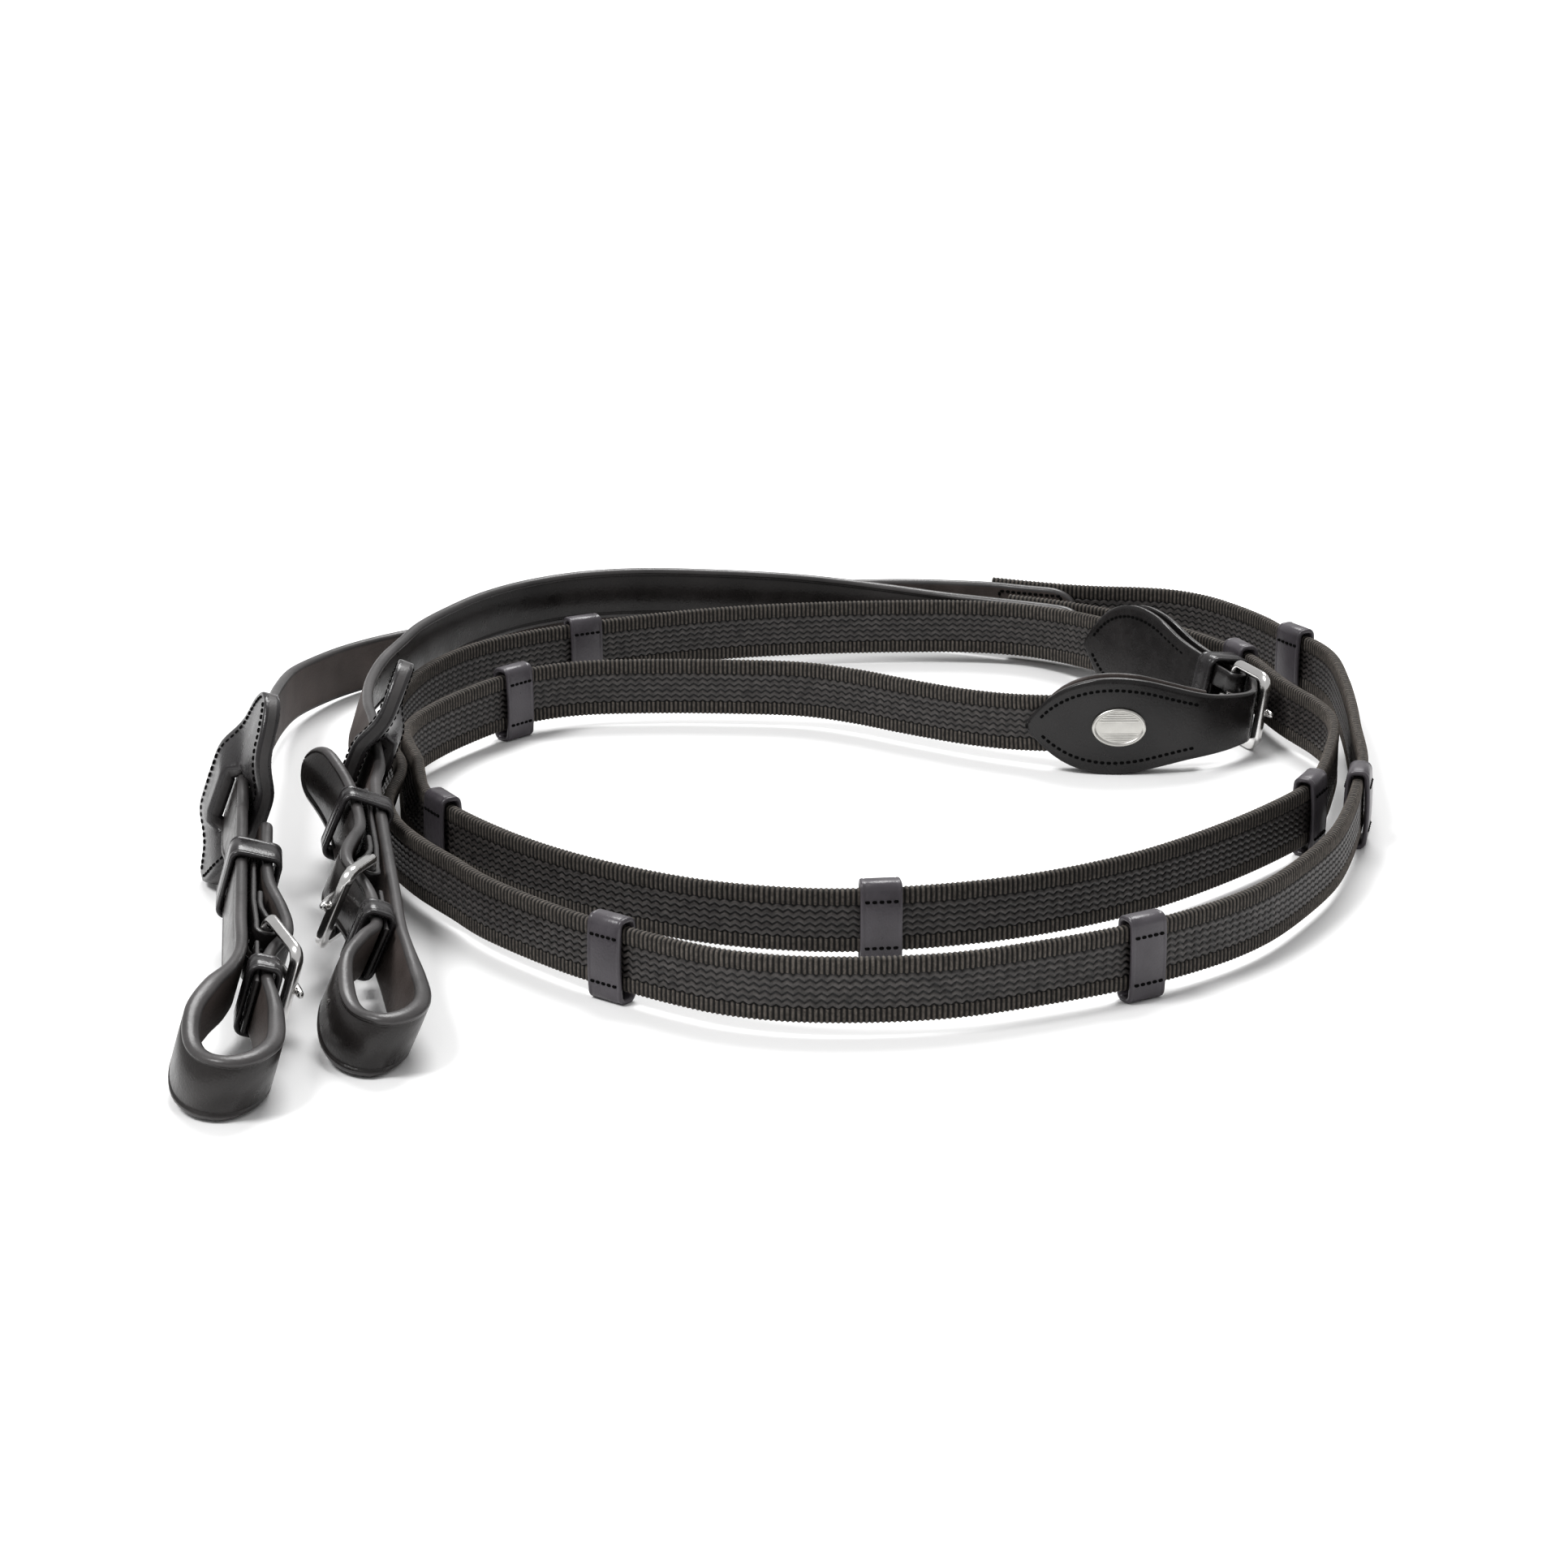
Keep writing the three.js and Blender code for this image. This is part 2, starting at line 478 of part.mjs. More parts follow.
// The tongue: a ring of wire round the hinge bar and a straight shank over the front bar.
// place(u, q) gives the point u along the buckle and q off its outer face.
function buckleTongue(place, spacing) {
  const ring = BAR_RADIUS + GAP + TONGUE_RADIUS;
  const steps = 9;
  const sweep = 250;
  const overhang = 2.4;
  const points = [];
  for (let k = 0; k <= steps; k += 1) {
    const angle = THREE.MathUtils.degToRad(90 + sweep - (sweep * k) / steps);
    points.push(place(ring * Math.cos(angle), ring * Math.sin(angle)));
  }
  points.push(place(spacing * 0.5, ring + 0.1), place(spacing + overhang, ring + 0.1));
  return wire(points, TONGUE_RADIUS, false);
}

function bitBuckle(bit) {
  const [hingeA, hingeN] = bit.hinge;
  const along = new THREE.Vector2(bit.front[0] - hingeA, bit.front[1] - hingeN);
  const spacing = along.length();
  along.normalize();
  const outward = new THREE.Vector2(-along.y, along.x);
  if (outward.y < 0) outward.negate();
  const half = FRAME_HEIGHT / 2 - BAR_RADIUS;
  const onFrame = (u, v) => bit.end.at(hingeA + along.x * u, hingeN + along.y * u, v);
  const offFrame = (u, q) => bit.end.at(hingeA + along.x * u + outward.x * q, hingeN + along.y * u + outward.y * q);
  return { frame: buckleFrame(onFrame, spacing, half), tongue: buckleTongue(offFrame, spacing) };
}

// ---------------------------------------------------------------- martingale stop
// A stitched plate with a slit along its long axis. The strap comes up through the slit:
// one half of the plate bows off one face of the strap and the other half off the other.
function martingaleStop(route, s, nearSide, twist) {
  const f = route.frame(s);
  const rows = [-PLATE.below, -20, -15, -11, -PLATE.slit, -5, 0, 5, PLATE.slit, 12.5, 17, 22, 26.5, PLATE.above];
  const middle = (PLATE.above - PLATE.below) / 2;
  const reach = (PLATE.above + PLATE.below) / 2;
  const shares = [-1, -0.6, -0.06, 0.06, 0.6, 1];
  const columns = shares.map((share) => rows.map((w) => {
    const tall = (w - middle) / reach;
    const wide = Math.max(0.16, Math.sqrt(Math.max(0, 1 - Math.abs(tall) ** 2.3)));
    const u = share * (PLATE.width / 2) * (Math.abs(share) < 0.1 ? 1 : wide);
    const open = Math.max(0, 1 - Math.max(0, Math.abs(w) - PLATE.slit) / 11);
    const bow = PLATE.bow * (0.5 - 0.5 * Math.cos(Math.PI * open)) * (Math.abs(share) < 0.1 ? 1 : 0.92);
    const n = Math.sign(share) * nearSide * bow + Math.sin(twist) * u;
    return {
      p: f.p.clone().addScaledVector(f.t, u).addScaledVector(f.n, n).addScaledVector(f.w, w),
      n: f.n,
    };
  }));
  const slit = (i, j) => i === 2 && rows[j] >= -PLATE.slit && rows[j + 1] <= PLATE.slit;
  return sheet(columns, PLATE.thick, slit);
}

// ---------------------------------------------------------------- centre buckle
const HINGE = vec(126.5, 44, 11.4);
const FRONT = vec(133.2, 28.6, 11.4);
const BUCKLE_UP = vec(0.15, 0.1, 1);

function centreBuckle() {
  const along = FRONT.clone().sub(HINGE);
  const spacing = along.length();
  along.normalize();
  const right = BUCKLE_UP.clone().cross(along).normalize();
  const up = along.clone().cross(right).normalize();
  const half = FRAME_HEIGHT / 2 - BAR_RADIUS;
  const place = (u, q, v) => HINGE.clone().addScaledVector(along, u).addScaledVector(right, q)
    .addScaledVector(up, v);
  return {
    place,
    frame: buckleFrame((u, v) => place(u, 0, v), spacing, half),
    tongue: buckleTongue((u, q) => place(u, q, 0), spacing),
  };
}

function leafHalf(fromTip) {
  const knots = [[0, 1.2], [3, 4.3], [7, 8], [12, 11.2], [18, 13.1], [24, 13.75], [31, 13], [40, 10.8],
    [50, 8.5], [LEAF.length, 7.2]];
  for (let i = 1; i < knots.length; i += 1) {
    if (fromTip <= knots[i][0]) {
      const k = (fromTip - knots[i - 1][0]) / (knots[i][0] - knots[i - 1][0]);
      return knots[i - 1][1] + k * (knots[i][1] - knots[i - 1][1]);
    }
  }
  return 7.2;
}

const LEAF_STEPS = [0, 3, 7, 12, 18, 24, 31, 40, 50];

// Both layers of the buckle leaf are one strip folded round the hinge bar.
function buckleLeaf(route) {
  const fold = BAR_RADIUS + GAP + LEAF.skin / 2;
  const shrink = LEAF.buckleSide / LEAF.length;
  const tipAt = route.length - LEAF.buckleSide;
  const side = (steps, sign) => steps.map((fromTip) => {
    const f = route.frame(tipAt + fromTip * shrink);
    return { p: f.p.clone().addScaledVector(f.n, sign * fold), n: f.n.clone().multiplyScalar(sign), w: f.w,
      half: leafHalf(fromTip) };
  });
  const path = side([...LEAF_STEPS, 55, LEAF.length], 1);
  const end = route.frame(route.length);
  const turns = 8;
  for (let k = 0; k <= turns; k += 1) {
    const angle = (Math.PI * k) / turns;
    const n = end.n.clone().multiplyScalar(Math.cos(angle)).addScaledVector(end.t, Math.sin(angle));
    path.push({ p: HINGE.clone().addScaledVector(n, fold), n, w: end.w, half: 7.2 });
  }
  path.push(...side([...LEAF_STEPS, 55, LEAF.length], -1).reverse());
  const slotFrom = LEAF_STEPS.length + 1;
  const columns = path.map(({ p, n, w, half }) => [-half, -SLOT_HALF, SLOT_HALF, half].map((across) => ({
    p: p.clone().addScaledVector(w, Math.abs(across) === SLOT_HALF && half < SLOT_HALF * 2
      ? across * (half / (SLOT_HALF * 2)) : across),
    n,
  })));
  const open = (i, j) => j === 1 && i >= slotFrom && i < path.length - slotFrom - 1;
  return sheet(columns, LEAF.skin, open);
}

// The billet leaf's outer layer runs on as the billet, through frame and keeper.
function billetLeaf(route, leafAt) {
  const outerOffset = WEBBING.thick / 2 + GAP + LEAF.billet / 2;
  const offset = (s) => outerOffset * (1 - THREE.MathUtils.smoothstep(s, leafAt + 46, leafAt + 62));
  const crossing = nearest(route, vec(131, 40.6, 11.4), leafAt, route.length);
  const slot = [crossing - 5, crossing + 6];
  const tip = [7, 4, 1.6, 0];
  const half = (s) => {
    const toTip = route.length - s;
    if (toTip < tip[0]) return 1.8 + 5.5 * Math.sqrt(toTip / tip[0]);
    return Math.min(leafHalf(s - leafAt), s - leafAt > LEAF.length - 8 ? 7.3 : 14);
  };
  const distances = [
    ...LEAF_STEPS.map((d) => leafAt + d), ...route.stations(leafAt + 54, slot[0] - 2, 6),
    ...route.stations(slot[0], slot[1], 3), ...route.stations(slot[1] + 2, route.length - tip[0], 6),
    ...tip.slice(1).map((t) => route.length - t),
  ];
  const narrow = (s) => Math.min(SLOT_HALF * 0.9, half(s) * 0.5);
  return {
    outer: strip(route, distances, {
      thick: LEAF.billet,
      half,
      offset,
      across: [-1, (s) => -narrow(s), narrow, 1],
      open: (i, j) => j === 1 && distances[i] >= slot[0] && distances[i + 1] <= slot[1],
    }),
    lining: strip(route, LEAF_STEPS.map((d) => leafAt + d), {
      thick: LEAF.skin,
      half: (s) => leafHalf(s - leafAt),
      offset: () => -(WEBBING.thick / 2 + GAP + LEAF.skin / 2),
    }),
  };
}

function centreKeeper(route) {
  const at = route.length - 2.6;
  const half = 3.5;
  const nIn = [-7.9, 3.5];
  const wall = 1.2;
  const wIn = 8.75;
  return sleeve([at - half, at + half].map((s) => {
    const f = route.frame(s);
    const point = (n, w) => f.p.clone().addScaledVector(f.n, n).addScaledVector(f.w, w);
    const ring = (low, high, w) => [point(low, 0), point(low, w), point(high, w), point(high, 0),
      point(high, -w), point(low, -w)];
    return { outer: ring(nIn[0] - wall, nIn[1] + wall, wIn + wall), inner: ring(nIn[0], nIn[1], wIn) };
  }));
}

// Oval badge with a raised rim, riveted flat on the billet leaf.
function badge(route, s) {
  const outline = new THREE.Shape();
  outline.absellipse(0, 0, BADGE.length / 2, BADGE.height / 2, 0, 2 * Math.PI);
  const geometry = new THREE.ExtrudeGeometry(outline, { depth: BADGE.thick, bevelEnabled: false, curveSegments: 20 });
  const f = route.frame(s);
  const face = WEBBING.thick / 2 + GAP + LEAF.billet + GAP + 0.25;
  const place = new THREE.Matrix4().makeBasis(f.t, f.w, f.n);
  if (place.determinant() < 0) place.makeBasis(f.t.clone().negate(), f.w, f.n);
  place.setPosition(route.at(s, face));
  return geometry.applyMatrix4(place);
}

// ---------------------------------------------------------------- materials and assembly
const finish = (color, roughness, metalness = 0) => new THREE.MeshStandardMaterial({ color, roughness, metalness });
const MATERIALS = {
  webbing: finish(0x2e2a29, 0.9),
  leather: finish(0x26241f, 0.45),
  lining: finish(0x35302e, 0.7),
  nickel: finish(0xc9cacc, 0.2, 1),
};

const reins = new THREE.Group();
reins.position.set(-BED_CENTRE[0], -BED_CENTRE[1], 0);

function add(name, geometry, material) {
  const mesh = new THREE.Mesh(geometry, MATERIALS[material]);
  mesh.name = name;
  reins.add(mesh);
}

const CENTRE = centreBuckle();
const grips = [new Route(REIN_1_WEBBING), new Route(REIN_2_WEBBING)];
const LEAF_AT = [grips[0].length - LEAF.buckleSide, nearest(grips[1], vec(68, 17, 12))];
const WEBBING_END = LEAF_AT.map((s) => s + 22);
const LAP_OFFSET = WEBBING.thick / 2 + GAP + STRAP.thick / 2;

// The leather's last stretch lies on the right-hand face of the webbing's start.
function lapRows(grip) {
  return [2, 9, 18, WEBBING_LAP].map((s) => {
    const p = grip.at(s, LAP_OFFSET);
    return [p.x, p.y, p.z, 0, 0];
  });
}

[BIT_1, BIT_2].forEach((bit, side) => {
  const name = `rein_${side + 1}`;
  const grip = grips[side];
  const leatherRows = side === 0 ? REIN_1_LEATHER : REIN_2_LEATHER;
  const route = new Route(bitStrapRows(bit, [...leatherRows, ...lapRows(grip)]));
  add(`${name}_grip_webbing`, strip(grip, grip.stations(0, WEBBING_END[side]), {
    thick: WEBBING.thick, half: () => WEBBING.width / 2,
  }), 'webbing');
  add(`${name}_leather_strap`, bitStrap(bit, route, route.length - WEBBING_LAP), 'leather');
  add(`${name}_buckle_chape`, bitChape(bit), 'leather');
  add(`${name}_keeper_tab`, keeperTab(bit), 'leather');
  const buckle = bitBuckle(bit);
  add(`${name}_bit_buckle_frame`, buckle.frame, 'nickel');
  add(`${name}_bit_buckle_tongue`, buckle.tongue, 'nickel');
  add(`${name}_fixed_keeper`, bitKeeper(bit, bit.lowerKeeper, 3.0, 8.4), 'leather');
  add(`${name}_sliding_keeper`, bitKeeper(bit, bit.upperKeeper, -1.8, bit.keeperTop), 'leather');
  const stopAt = nearest(route, vec(...leatherRows[1].slice(0, 3)));
  add(`${name}_martingale_stop`, martingaleStop(route, stopAt, side === 0 ? -1 : 1,
    side === 0 ? -0.16 : 0.16), 'leather');
  (side === 0 ? HAND_STOPS_1 : HAND_STOPS_2).forEach((s, k) => {
    add(`${name}_hand_stop_${k + 1}`, handStop(grip, s), 'leather');
  });
});

const leaf = billetLeaf(grips[1], LEAF_AT[1]);
add('billet_leaf', leaf.outer, 'leather');
add('billet_leaf_lining', leaf.lining, 'lining');
add('buckle_leaf', buckleLeaf(grips[0]), 'leather');
add('centre_keeper', centreKeeper(grips[0]), 'leather');
add('centre_buckle_frame', CENTRE.frame, 'nickel');
add('centre_buckle_tongue', CENTRE.tongue, 'nickel');
add('badge', badge(grips[1], LEAF_AT[1] + 25), 'nickel');

export default reins;
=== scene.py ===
"""Looks of a coiled pair of horse reins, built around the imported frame.

Shapes are worked out in millimetres on the coil's own plan and moved to the frame's origin,
in metres, when a mesh is made.
"""
import math

import bpy
import numpy as np
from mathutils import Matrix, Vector


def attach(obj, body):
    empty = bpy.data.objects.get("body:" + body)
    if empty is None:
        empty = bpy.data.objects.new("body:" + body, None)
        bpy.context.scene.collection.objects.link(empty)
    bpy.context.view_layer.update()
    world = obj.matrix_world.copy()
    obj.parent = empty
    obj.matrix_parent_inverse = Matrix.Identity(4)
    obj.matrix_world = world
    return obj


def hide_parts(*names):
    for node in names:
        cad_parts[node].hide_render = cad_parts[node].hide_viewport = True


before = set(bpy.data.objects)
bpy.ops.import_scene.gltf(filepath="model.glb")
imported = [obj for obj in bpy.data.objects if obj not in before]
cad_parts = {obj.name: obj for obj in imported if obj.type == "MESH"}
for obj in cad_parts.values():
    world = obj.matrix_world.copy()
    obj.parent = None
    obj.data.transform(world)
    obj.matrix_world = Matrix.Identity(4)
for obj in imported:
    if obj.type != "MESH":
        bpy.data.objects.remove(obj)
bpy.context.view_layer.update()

MM = 0.001
BED_CENTRE = np.array([4.23, -44.7, 0.0])  # middle of the coil on its own plan

# ---------------- sizes, in millimetres
GAP = 0.3                         # between a strap and the webbing it laps
WEBBING_WIDTH, WEBBING_THICK = 16.0, 2.5
WEBBING_LEVEL = 11.2              # middle of the webbing, where the coil lies flat
STRAP_WIDTH, STRAP_THICK = 15.0, 3.0
CHAPE_WIDTH, CHAPE_THICK = 13.6, 1.5
TAB_THICK, KEEPER_WALL = 1.3, 1.3
LEAF_SKIN, LEAF_BILLET = 1.5, 2.2
LEAF_BED = WEBBING_THICK / 2 + 0.15  # inner face of a centre leaf, from the middle line
BAR_RADIUS, TONGUE_RADIUS = 1.4, 1.05
BAR_FOLD = BAR_RADIUS + 0.25      # inner face of leather folded round a hinge bar
FRAME_HEIGHT = 22.0
STOP_LENGTH, STOP_HEIGHT, STOP_SKIN = 10.0, 21.4, 1.35
PLATE = {"below": 22.7, "above": 29.6, "width": 29.0, "thick": 4.2, "slit": 8.9, "bow": 3.7}
BADGE_LENGTH, BADGE_HEIGHT = 15.0, 11.0
LEAF_LENGTH = 62.0
BUCKLE_LEAF_LENGTH = 54.0         # the same outline, shortened
WEBBING_LAP = 27.0
SLOT_HALF = 1.9
LOOP_SWELL = 1.1                  # the strap is thicker where it bends round the bit
RIB_PITCH = 1.29                  # ribs of the webbing's edges
RIB_DEPTH = 0.2
ROW_PITCH = 1.66                  # rows of rubber in the webbing's middle
RUBBER_ROWS = 5
ZIGZAG = 0.4                      # how far a row swings to each side
STITCH_PITCH, STITCH_LENGTH = 1.8, 0.85
STITCH_INSET = 3.3                # from a leaf's or a martingale stop's outline
STRAP_TIP = 9.0                   # length of a strap's rounded end

# ---------------- camera
CAMERA_ELEVATION = math.radians(18.5)
CAMERA_DISTANCE = 1088.0
LENS, SENSOR = 91.3, 36.0


def make_camera():
    data = bpy.data.cameras.new("camera")
    data.lens, data.sensor_width = LENS, SENSOR
    data.dof.use_dof = False
    camera = bpy.data.objects.new("camera", data)
    bpy.context.scene.collection.objects.link(camera)
    offset = np.array([0.0, -math.cos(CAMERA_ELEVATION), math.sin(CAMERA_ELEVATION)])
    camera.location = Vector((offset * CAMERA_DISTANCE - BED_CENTRE) * MM)
    camera.rotation_mode = "QUATERNION"
    camera.rotation_quaternion = Vector(-offset).to_track_quat("-Z", "Y")
    data.clip_start, data.clip_end = 0.05, 50.0
    bpy.context.scene.camera = camera


make_camera()

# ---------------- routes
# One row is x, y, z of a strap's middle line and the lean in x and y of its width off the
# vertical. A short row lies at the webbing's usual level, or has no lean.
USUAL_ROW = [0, 0, WEBBING_LEVEL, 0, 0]
ROUTE_STEPS = 40                  # between one row and the next
REIN_1_WEBBING = [
    [64, 141.5], [76, 137], [87, 133.5], [97, 131.5], [107, 130.5], [117, 128], [126, 122],
    [134, 112], [142, 98], [147.5, 84], [153.5, 74], [157, 61], [157.5, 37], [156.5, 14],
    [155, -5], [153, -33], [150, -48], [144.5, -71], [137.5, -93], [127, -114], [117, -130],
    [108, -140.5], [99, -148.5], [85, -158.5], [63, -170], [36, -180], [6, -182], [-12, -178],
    [-25, -171], [-40, -160], [-51, -151], [-72, -128], [-81, -114], [-90, -100], [-97, -86],
    [-101.5, -72, 11.2, 0.1], [-103.4, -60, 11.2, 0.3], [-102.6, -45, 11.2, 0.36],
    [-103.4, -34, 11.2, 0.34], [-106.4, -20, 11.2, 0.14], [-108, -5, 11.2, 0.05], [-107.6, 12],
    [-106, 30], [-101, 50], [-90, 70], [-75, 83], [-58, 92.5], [-40, 101], [-16, 109], [8, 113.5],
    [33, 115.7], [56, 115.5], [71, 112], [82, 104, 11.8, 0.05, 0.04], [93, 90, 13.2, 0.12, 0.08],
    [104, 75, 14.45, 0.15, 0.1], [113, 64.5, 13, 0.15, 0.1], [120.2, 56.4, 11.8, 0.15, 0.1],
    [123.4, 50.9, 11.4, 0.15, 0.1],
]
REIN_2_WEBBING = [
    [68, 122.3], [81, 116.6], [95, 108], [110, 94.5], [123, 78.5], [131, 65.5], [135.2, 54],
    [137.4, 45], [139.4, 37.5], [141.4, 31.2], [144, 24.3], [147.2, 15.5], [149.4, 4],
    [148.5, -9], [145.5, -24], [141, -42], [136, -56], [124, -73], [105, -94], [87, -110],
    [66, -123], [46, -131], [22, -136], [4, -136], [-20, -130], [-45, -116], [-66, -98],
    [-85, -74], [-92.5, -60, 11.2, 0.03], [-96.9, -45, 11.2, 0.27], [-98.6, -33, 11.2, 0.27],
    [-101, -20, 11.2, 0.12], [-102, -9], [-100, 3], [-95, 15], [-88, 27], [-80, 38], [-70.5, 47],
    [-58, 52.5], [-40, 54.5], [-14, 54], [6, 51.5], [20, 45], [35, 35], [51, 25, 11.4],
    [64, 18.5, 12], [78, 13.2, 13.2], [93, 11.2, 13.9], [108, 13, 13.4, 0.03],
    [118, 15.8, 12.6, 0.08, 0.04], [125.4, 20, 12, 0.13, 0.08], [129.4, 25.2, 11.6, 0.15, 0.1],
    [130.5, 31.5, 11.4, 0.15, 0.1], [131, 38.5, 11.4, 0.15, 0.1], [131.4, 46.2, 11.4, 0.15, 0.1],
    [127.9, 53.6, 11.4, 0.15, 0.1], [124.4, 60, 11.4, 0.15, 0.1], [120.9, 66.8, 11.4, 0.15, 0.1],
]
REIN_1_LEATHER = [
    [-136.4, -98, 20.6, 0.37], [-138.5, -80, 22.3, 0.37], [-139.6, -62, 21.6, 0.36],
    [-140.2, -38, 18.8, 0.26], [-140.8, 0, 15.4, 0.12], [-141.2, 30, 12.4, 0.05],
    [-139.6, 50, 10.6], [-135, 65, 9.4], [-128, 79, 8.6], [-118, 91, 8.2], [-104, 101.5, 8.2],
    [-80, 115, 8.2], [-52, 130, 8.4], [-24, 139.5, 9], [10, 143.5, 10], [38, 143, 10.8],
]
REIN_2_LEATHER = [
    [-105.6, -66, 20.6, 0.37], [-108.2, -50, 22, 0.4], [-110.2, -34, 22.3, 0.4],
    [-113.4, -16, 22, 0.36], [-114.6, 4, 21.6, 0.3], [-112.4, 26, 21.6, 0.2],
    [-108, 44, 21.6, 0.1], [-104, 59, 21.4], [-97.5, 76, 21], [-88.5, 92, 21], [-77, 107, 20.4],
    [-62, 118, 20], [-45, 125, 19.2], [-22, 129.5, 17.6], [4, 132, 15.4], [29, 131, 12.8],
    [48, 127.2],
]
HAND_STOPS = [[113, 245.5, 378, 513, 806], [87.5, 212, 356, 491, 613]]


def unit(v):
    return v / np.linalg.norm(v, axis=-1, keepdims=True)


def smoothstep(x, low, high):
    t = np.clip((np.asarray(x, float) - low) / (high - low), 0, 1)
    return t * t * (3 - 2 * t)


def catmull(points, per_span, centripetal):
    """The curve through points, as the CAD draws it."""
    p = np.array(points, float)
    p = np.vstack([2 * p[0] - p[1], p, 2 * p[-1] - p[-2]])
    rows = []
    for i in range(1, len(p) - 2):
        if centripetal:
            d = [max(np.linalg.norm(p[i + k] - p[i + k - 1]) ** 0.5, 1e-6) for k in (0, 1, 2)]
            t0 = ((p[i] - p[i - 1]) / d[0] - (p[i + 1] - p[i - 1]) / (d[0] + d[1])
                  + (p[i + 1] - p[i]) / d[1]) * d[1]
            t1 = ((p[i + 1] - p[i]) / d[1] - (p[i + 2] - p[i]) / (d[1] + d[2])
                  + (p[i + 2] - p[i + 1]) / d[2]) * d[1]
        else:
            t0, t1 = (p[i + 1] - p[i - 1]) / 2, (p[i + 2] - p[i]) / 2
        u = np.linspace(0, 1, per_span, endpoint=False)[:, None]
        rows.append(p[i] + t0 * u + (3 * (p[i + 1] - p[i]) - 2 * t0 - t1) * u ** 2
                    + (2 * (p[i] - p[i + 1]) + t0 + t1) * u ** 3)
    rows.append(p[-2][None])
    return np.vstack(rows)


def steps(low, high, step):
    return np.linspace(low, high, max(2, int(round((high - low) / step)) + 1))


class Route:
    """A strap's middle line. frame(s) gives point, along, right and up-the-width at distances s."""

    def __init__(self, rows):
        rows = np.array([[*row, *USUAL_ROW[len(row):]] for row in rows], float)
        self.p = catmull(rows[:, :3], ROUTE_STEPS, True)
        lean = np.column_stack([rows[:, 3:5], np.ones(len(rows))])
        self.up = unit(catmull(lean, ROUTE_STEPS, False))
        self.s = np.concatenate([[0], np.cumsum(np.linalg.norm(np.diff(self.p, axis=0), axis=1))])
        self.length = self.s[-1]
        self.t = unit(np.gradient(self.p, self.s, axis=0))

    def frame(self, s):
        s = np.atleast_1d(np.asarray(s, float))
        pick = [np.column_stack([np.interp(s, self.s, a[:, k]) for k in range(3)])
                for a in (self.p, self.t, self.up)]
        over = s - np.clip(s, 0, self.length)
        t = unit(pick[1])
        p = pick[0] + t * over[:, None]
        n = unit(np.cross(t, pick[2]))
        return p, t, n, np.cross(n, t)

    def at(self, s, n):
        p, _, right, _ = self.frame(s)
        return (p + right * n)[0]

    def nearest(self, point, low=0.0, high=None):
        high = self.length if high is None else high
        s = np.arange(low, high, 0.5)
        gap = np.linalg.norm(self.frame(s)[0] - np.array(point, float), axis=1)
        return s[int(np.argmin(gap))]


GRIPS = [Route(REIN_1_WEBBING), Route(REIN_2_WEBBING)]
LEAF_AT = [GRIPS[0].length - BUCKLE_LEAF_LENGTH, GRIPS[1].nearest((68, 17, 12))]
WEBBING_END = [s + 22 for s in LEAF_AT]
LAP_OFFSET = WEBBING_THICK / 2 + GAP + STRAP_THICK / 2


class BitEnd:
    """A bit end's directions: a up the strap from the bit, n towards the billet, h up the width."""

    def __init__(self, origin, heading, slope, lean, side):
        flat = unit(np.array([*heading, 0.0]))
        self.origin = np.array(origin, float)
        self.a = unit(flat + np.array([0, 0, slope]))
        right = unit(np.cross(self.a, np.array([*lean, 1.0])))
        self.h = unit(np.cross(right, self.a))
        self.n = right * side

    def at(self, a, n, h=0.0):
        return self.origin + self.a * a + self.n * n + self.h * h

    def row(self, a, n):
        """A route's row. Towards the bit the strap comes down to stand on its edge."""
        p = self.at(a, n)
        level = 7.75
        share = float(smoothstep(a, 0, 38))
        lean = self.h[:2] / self.h[2]
        return [p[0], p[1], level + (p[2] - level) * share, *lean]


BIT_ENDS = [
    {
        "end": BitEnd([-120, -232, 10.4], [-0.12, 0.993], 0.078, [0.3, -0.04], 1),
        "loop": [[45, 6.2], [38, 6.4], [31, 7.7], [24, 8.7], [12, 8.5], [6, 6.4], [1.6, 2.7],
                 [0, -1.5], [1.6, -5.9], [6, -9.6], [12, -11.5], [22, -11], [32, -7], [42, -2.2],
                 [52, 0]],
        "billet": [[133, 6.4], [118, 6.2], [104, 6.2], [92, 7], [81, 9.6], [72, 11], [66, 10.9],
                   [61, 9.3], [57, 7.9], [51, 6.5]],
        "straight": [[70, 0], [90, 0], [112, 0], [132, 0]],
        "hinge": (66, 6.1), "front": (49.2, 12.8),
        "lower": (39.5, 47), "upper": (101, 111), "keeper_top": 8.6,
        "plate_side": -1, "plate_twist": -0.16,
    },
    {
        "end": BitEnd([-84.5, -206, 7.7], [-0.163, 0.987], 0.092, [0.43, 0], -1),
        "loop": [[45, 6.3], [36, 10.4], [25, 15.3], [14, 16.4], [7, 14.6], [2, 11], [0, 6.6],
                 [2, 2], [7, -1.6], [14, -3.2], [25, -2.8], [37, -1], [48, 0]],
        "billet": [[149, 14.8], [140, 11.2], [130, 8.4], [121, 7], [110, 6.3], [100, 6.6],
                   [91, 9.2], [82, 11.3], [76, 11.3], [71, 9.4], [67, 7.9], [61, 6.5], [53, 6.2]],
        "straight": [[66, 0], [90, 0], [112, 0], [132, 0]],
        "hinge": (76, 6.1), "front": (61, 13.4),
        "lower": (46, 53.5), "upper": (112, 119), "keeper_top": 9.2,
        "plate_side": 1, "plate_twist": 0.16,
    },
]
LEATHER_ROWS = [REIN_1_LEATHER, REIN_2_LEATHER]


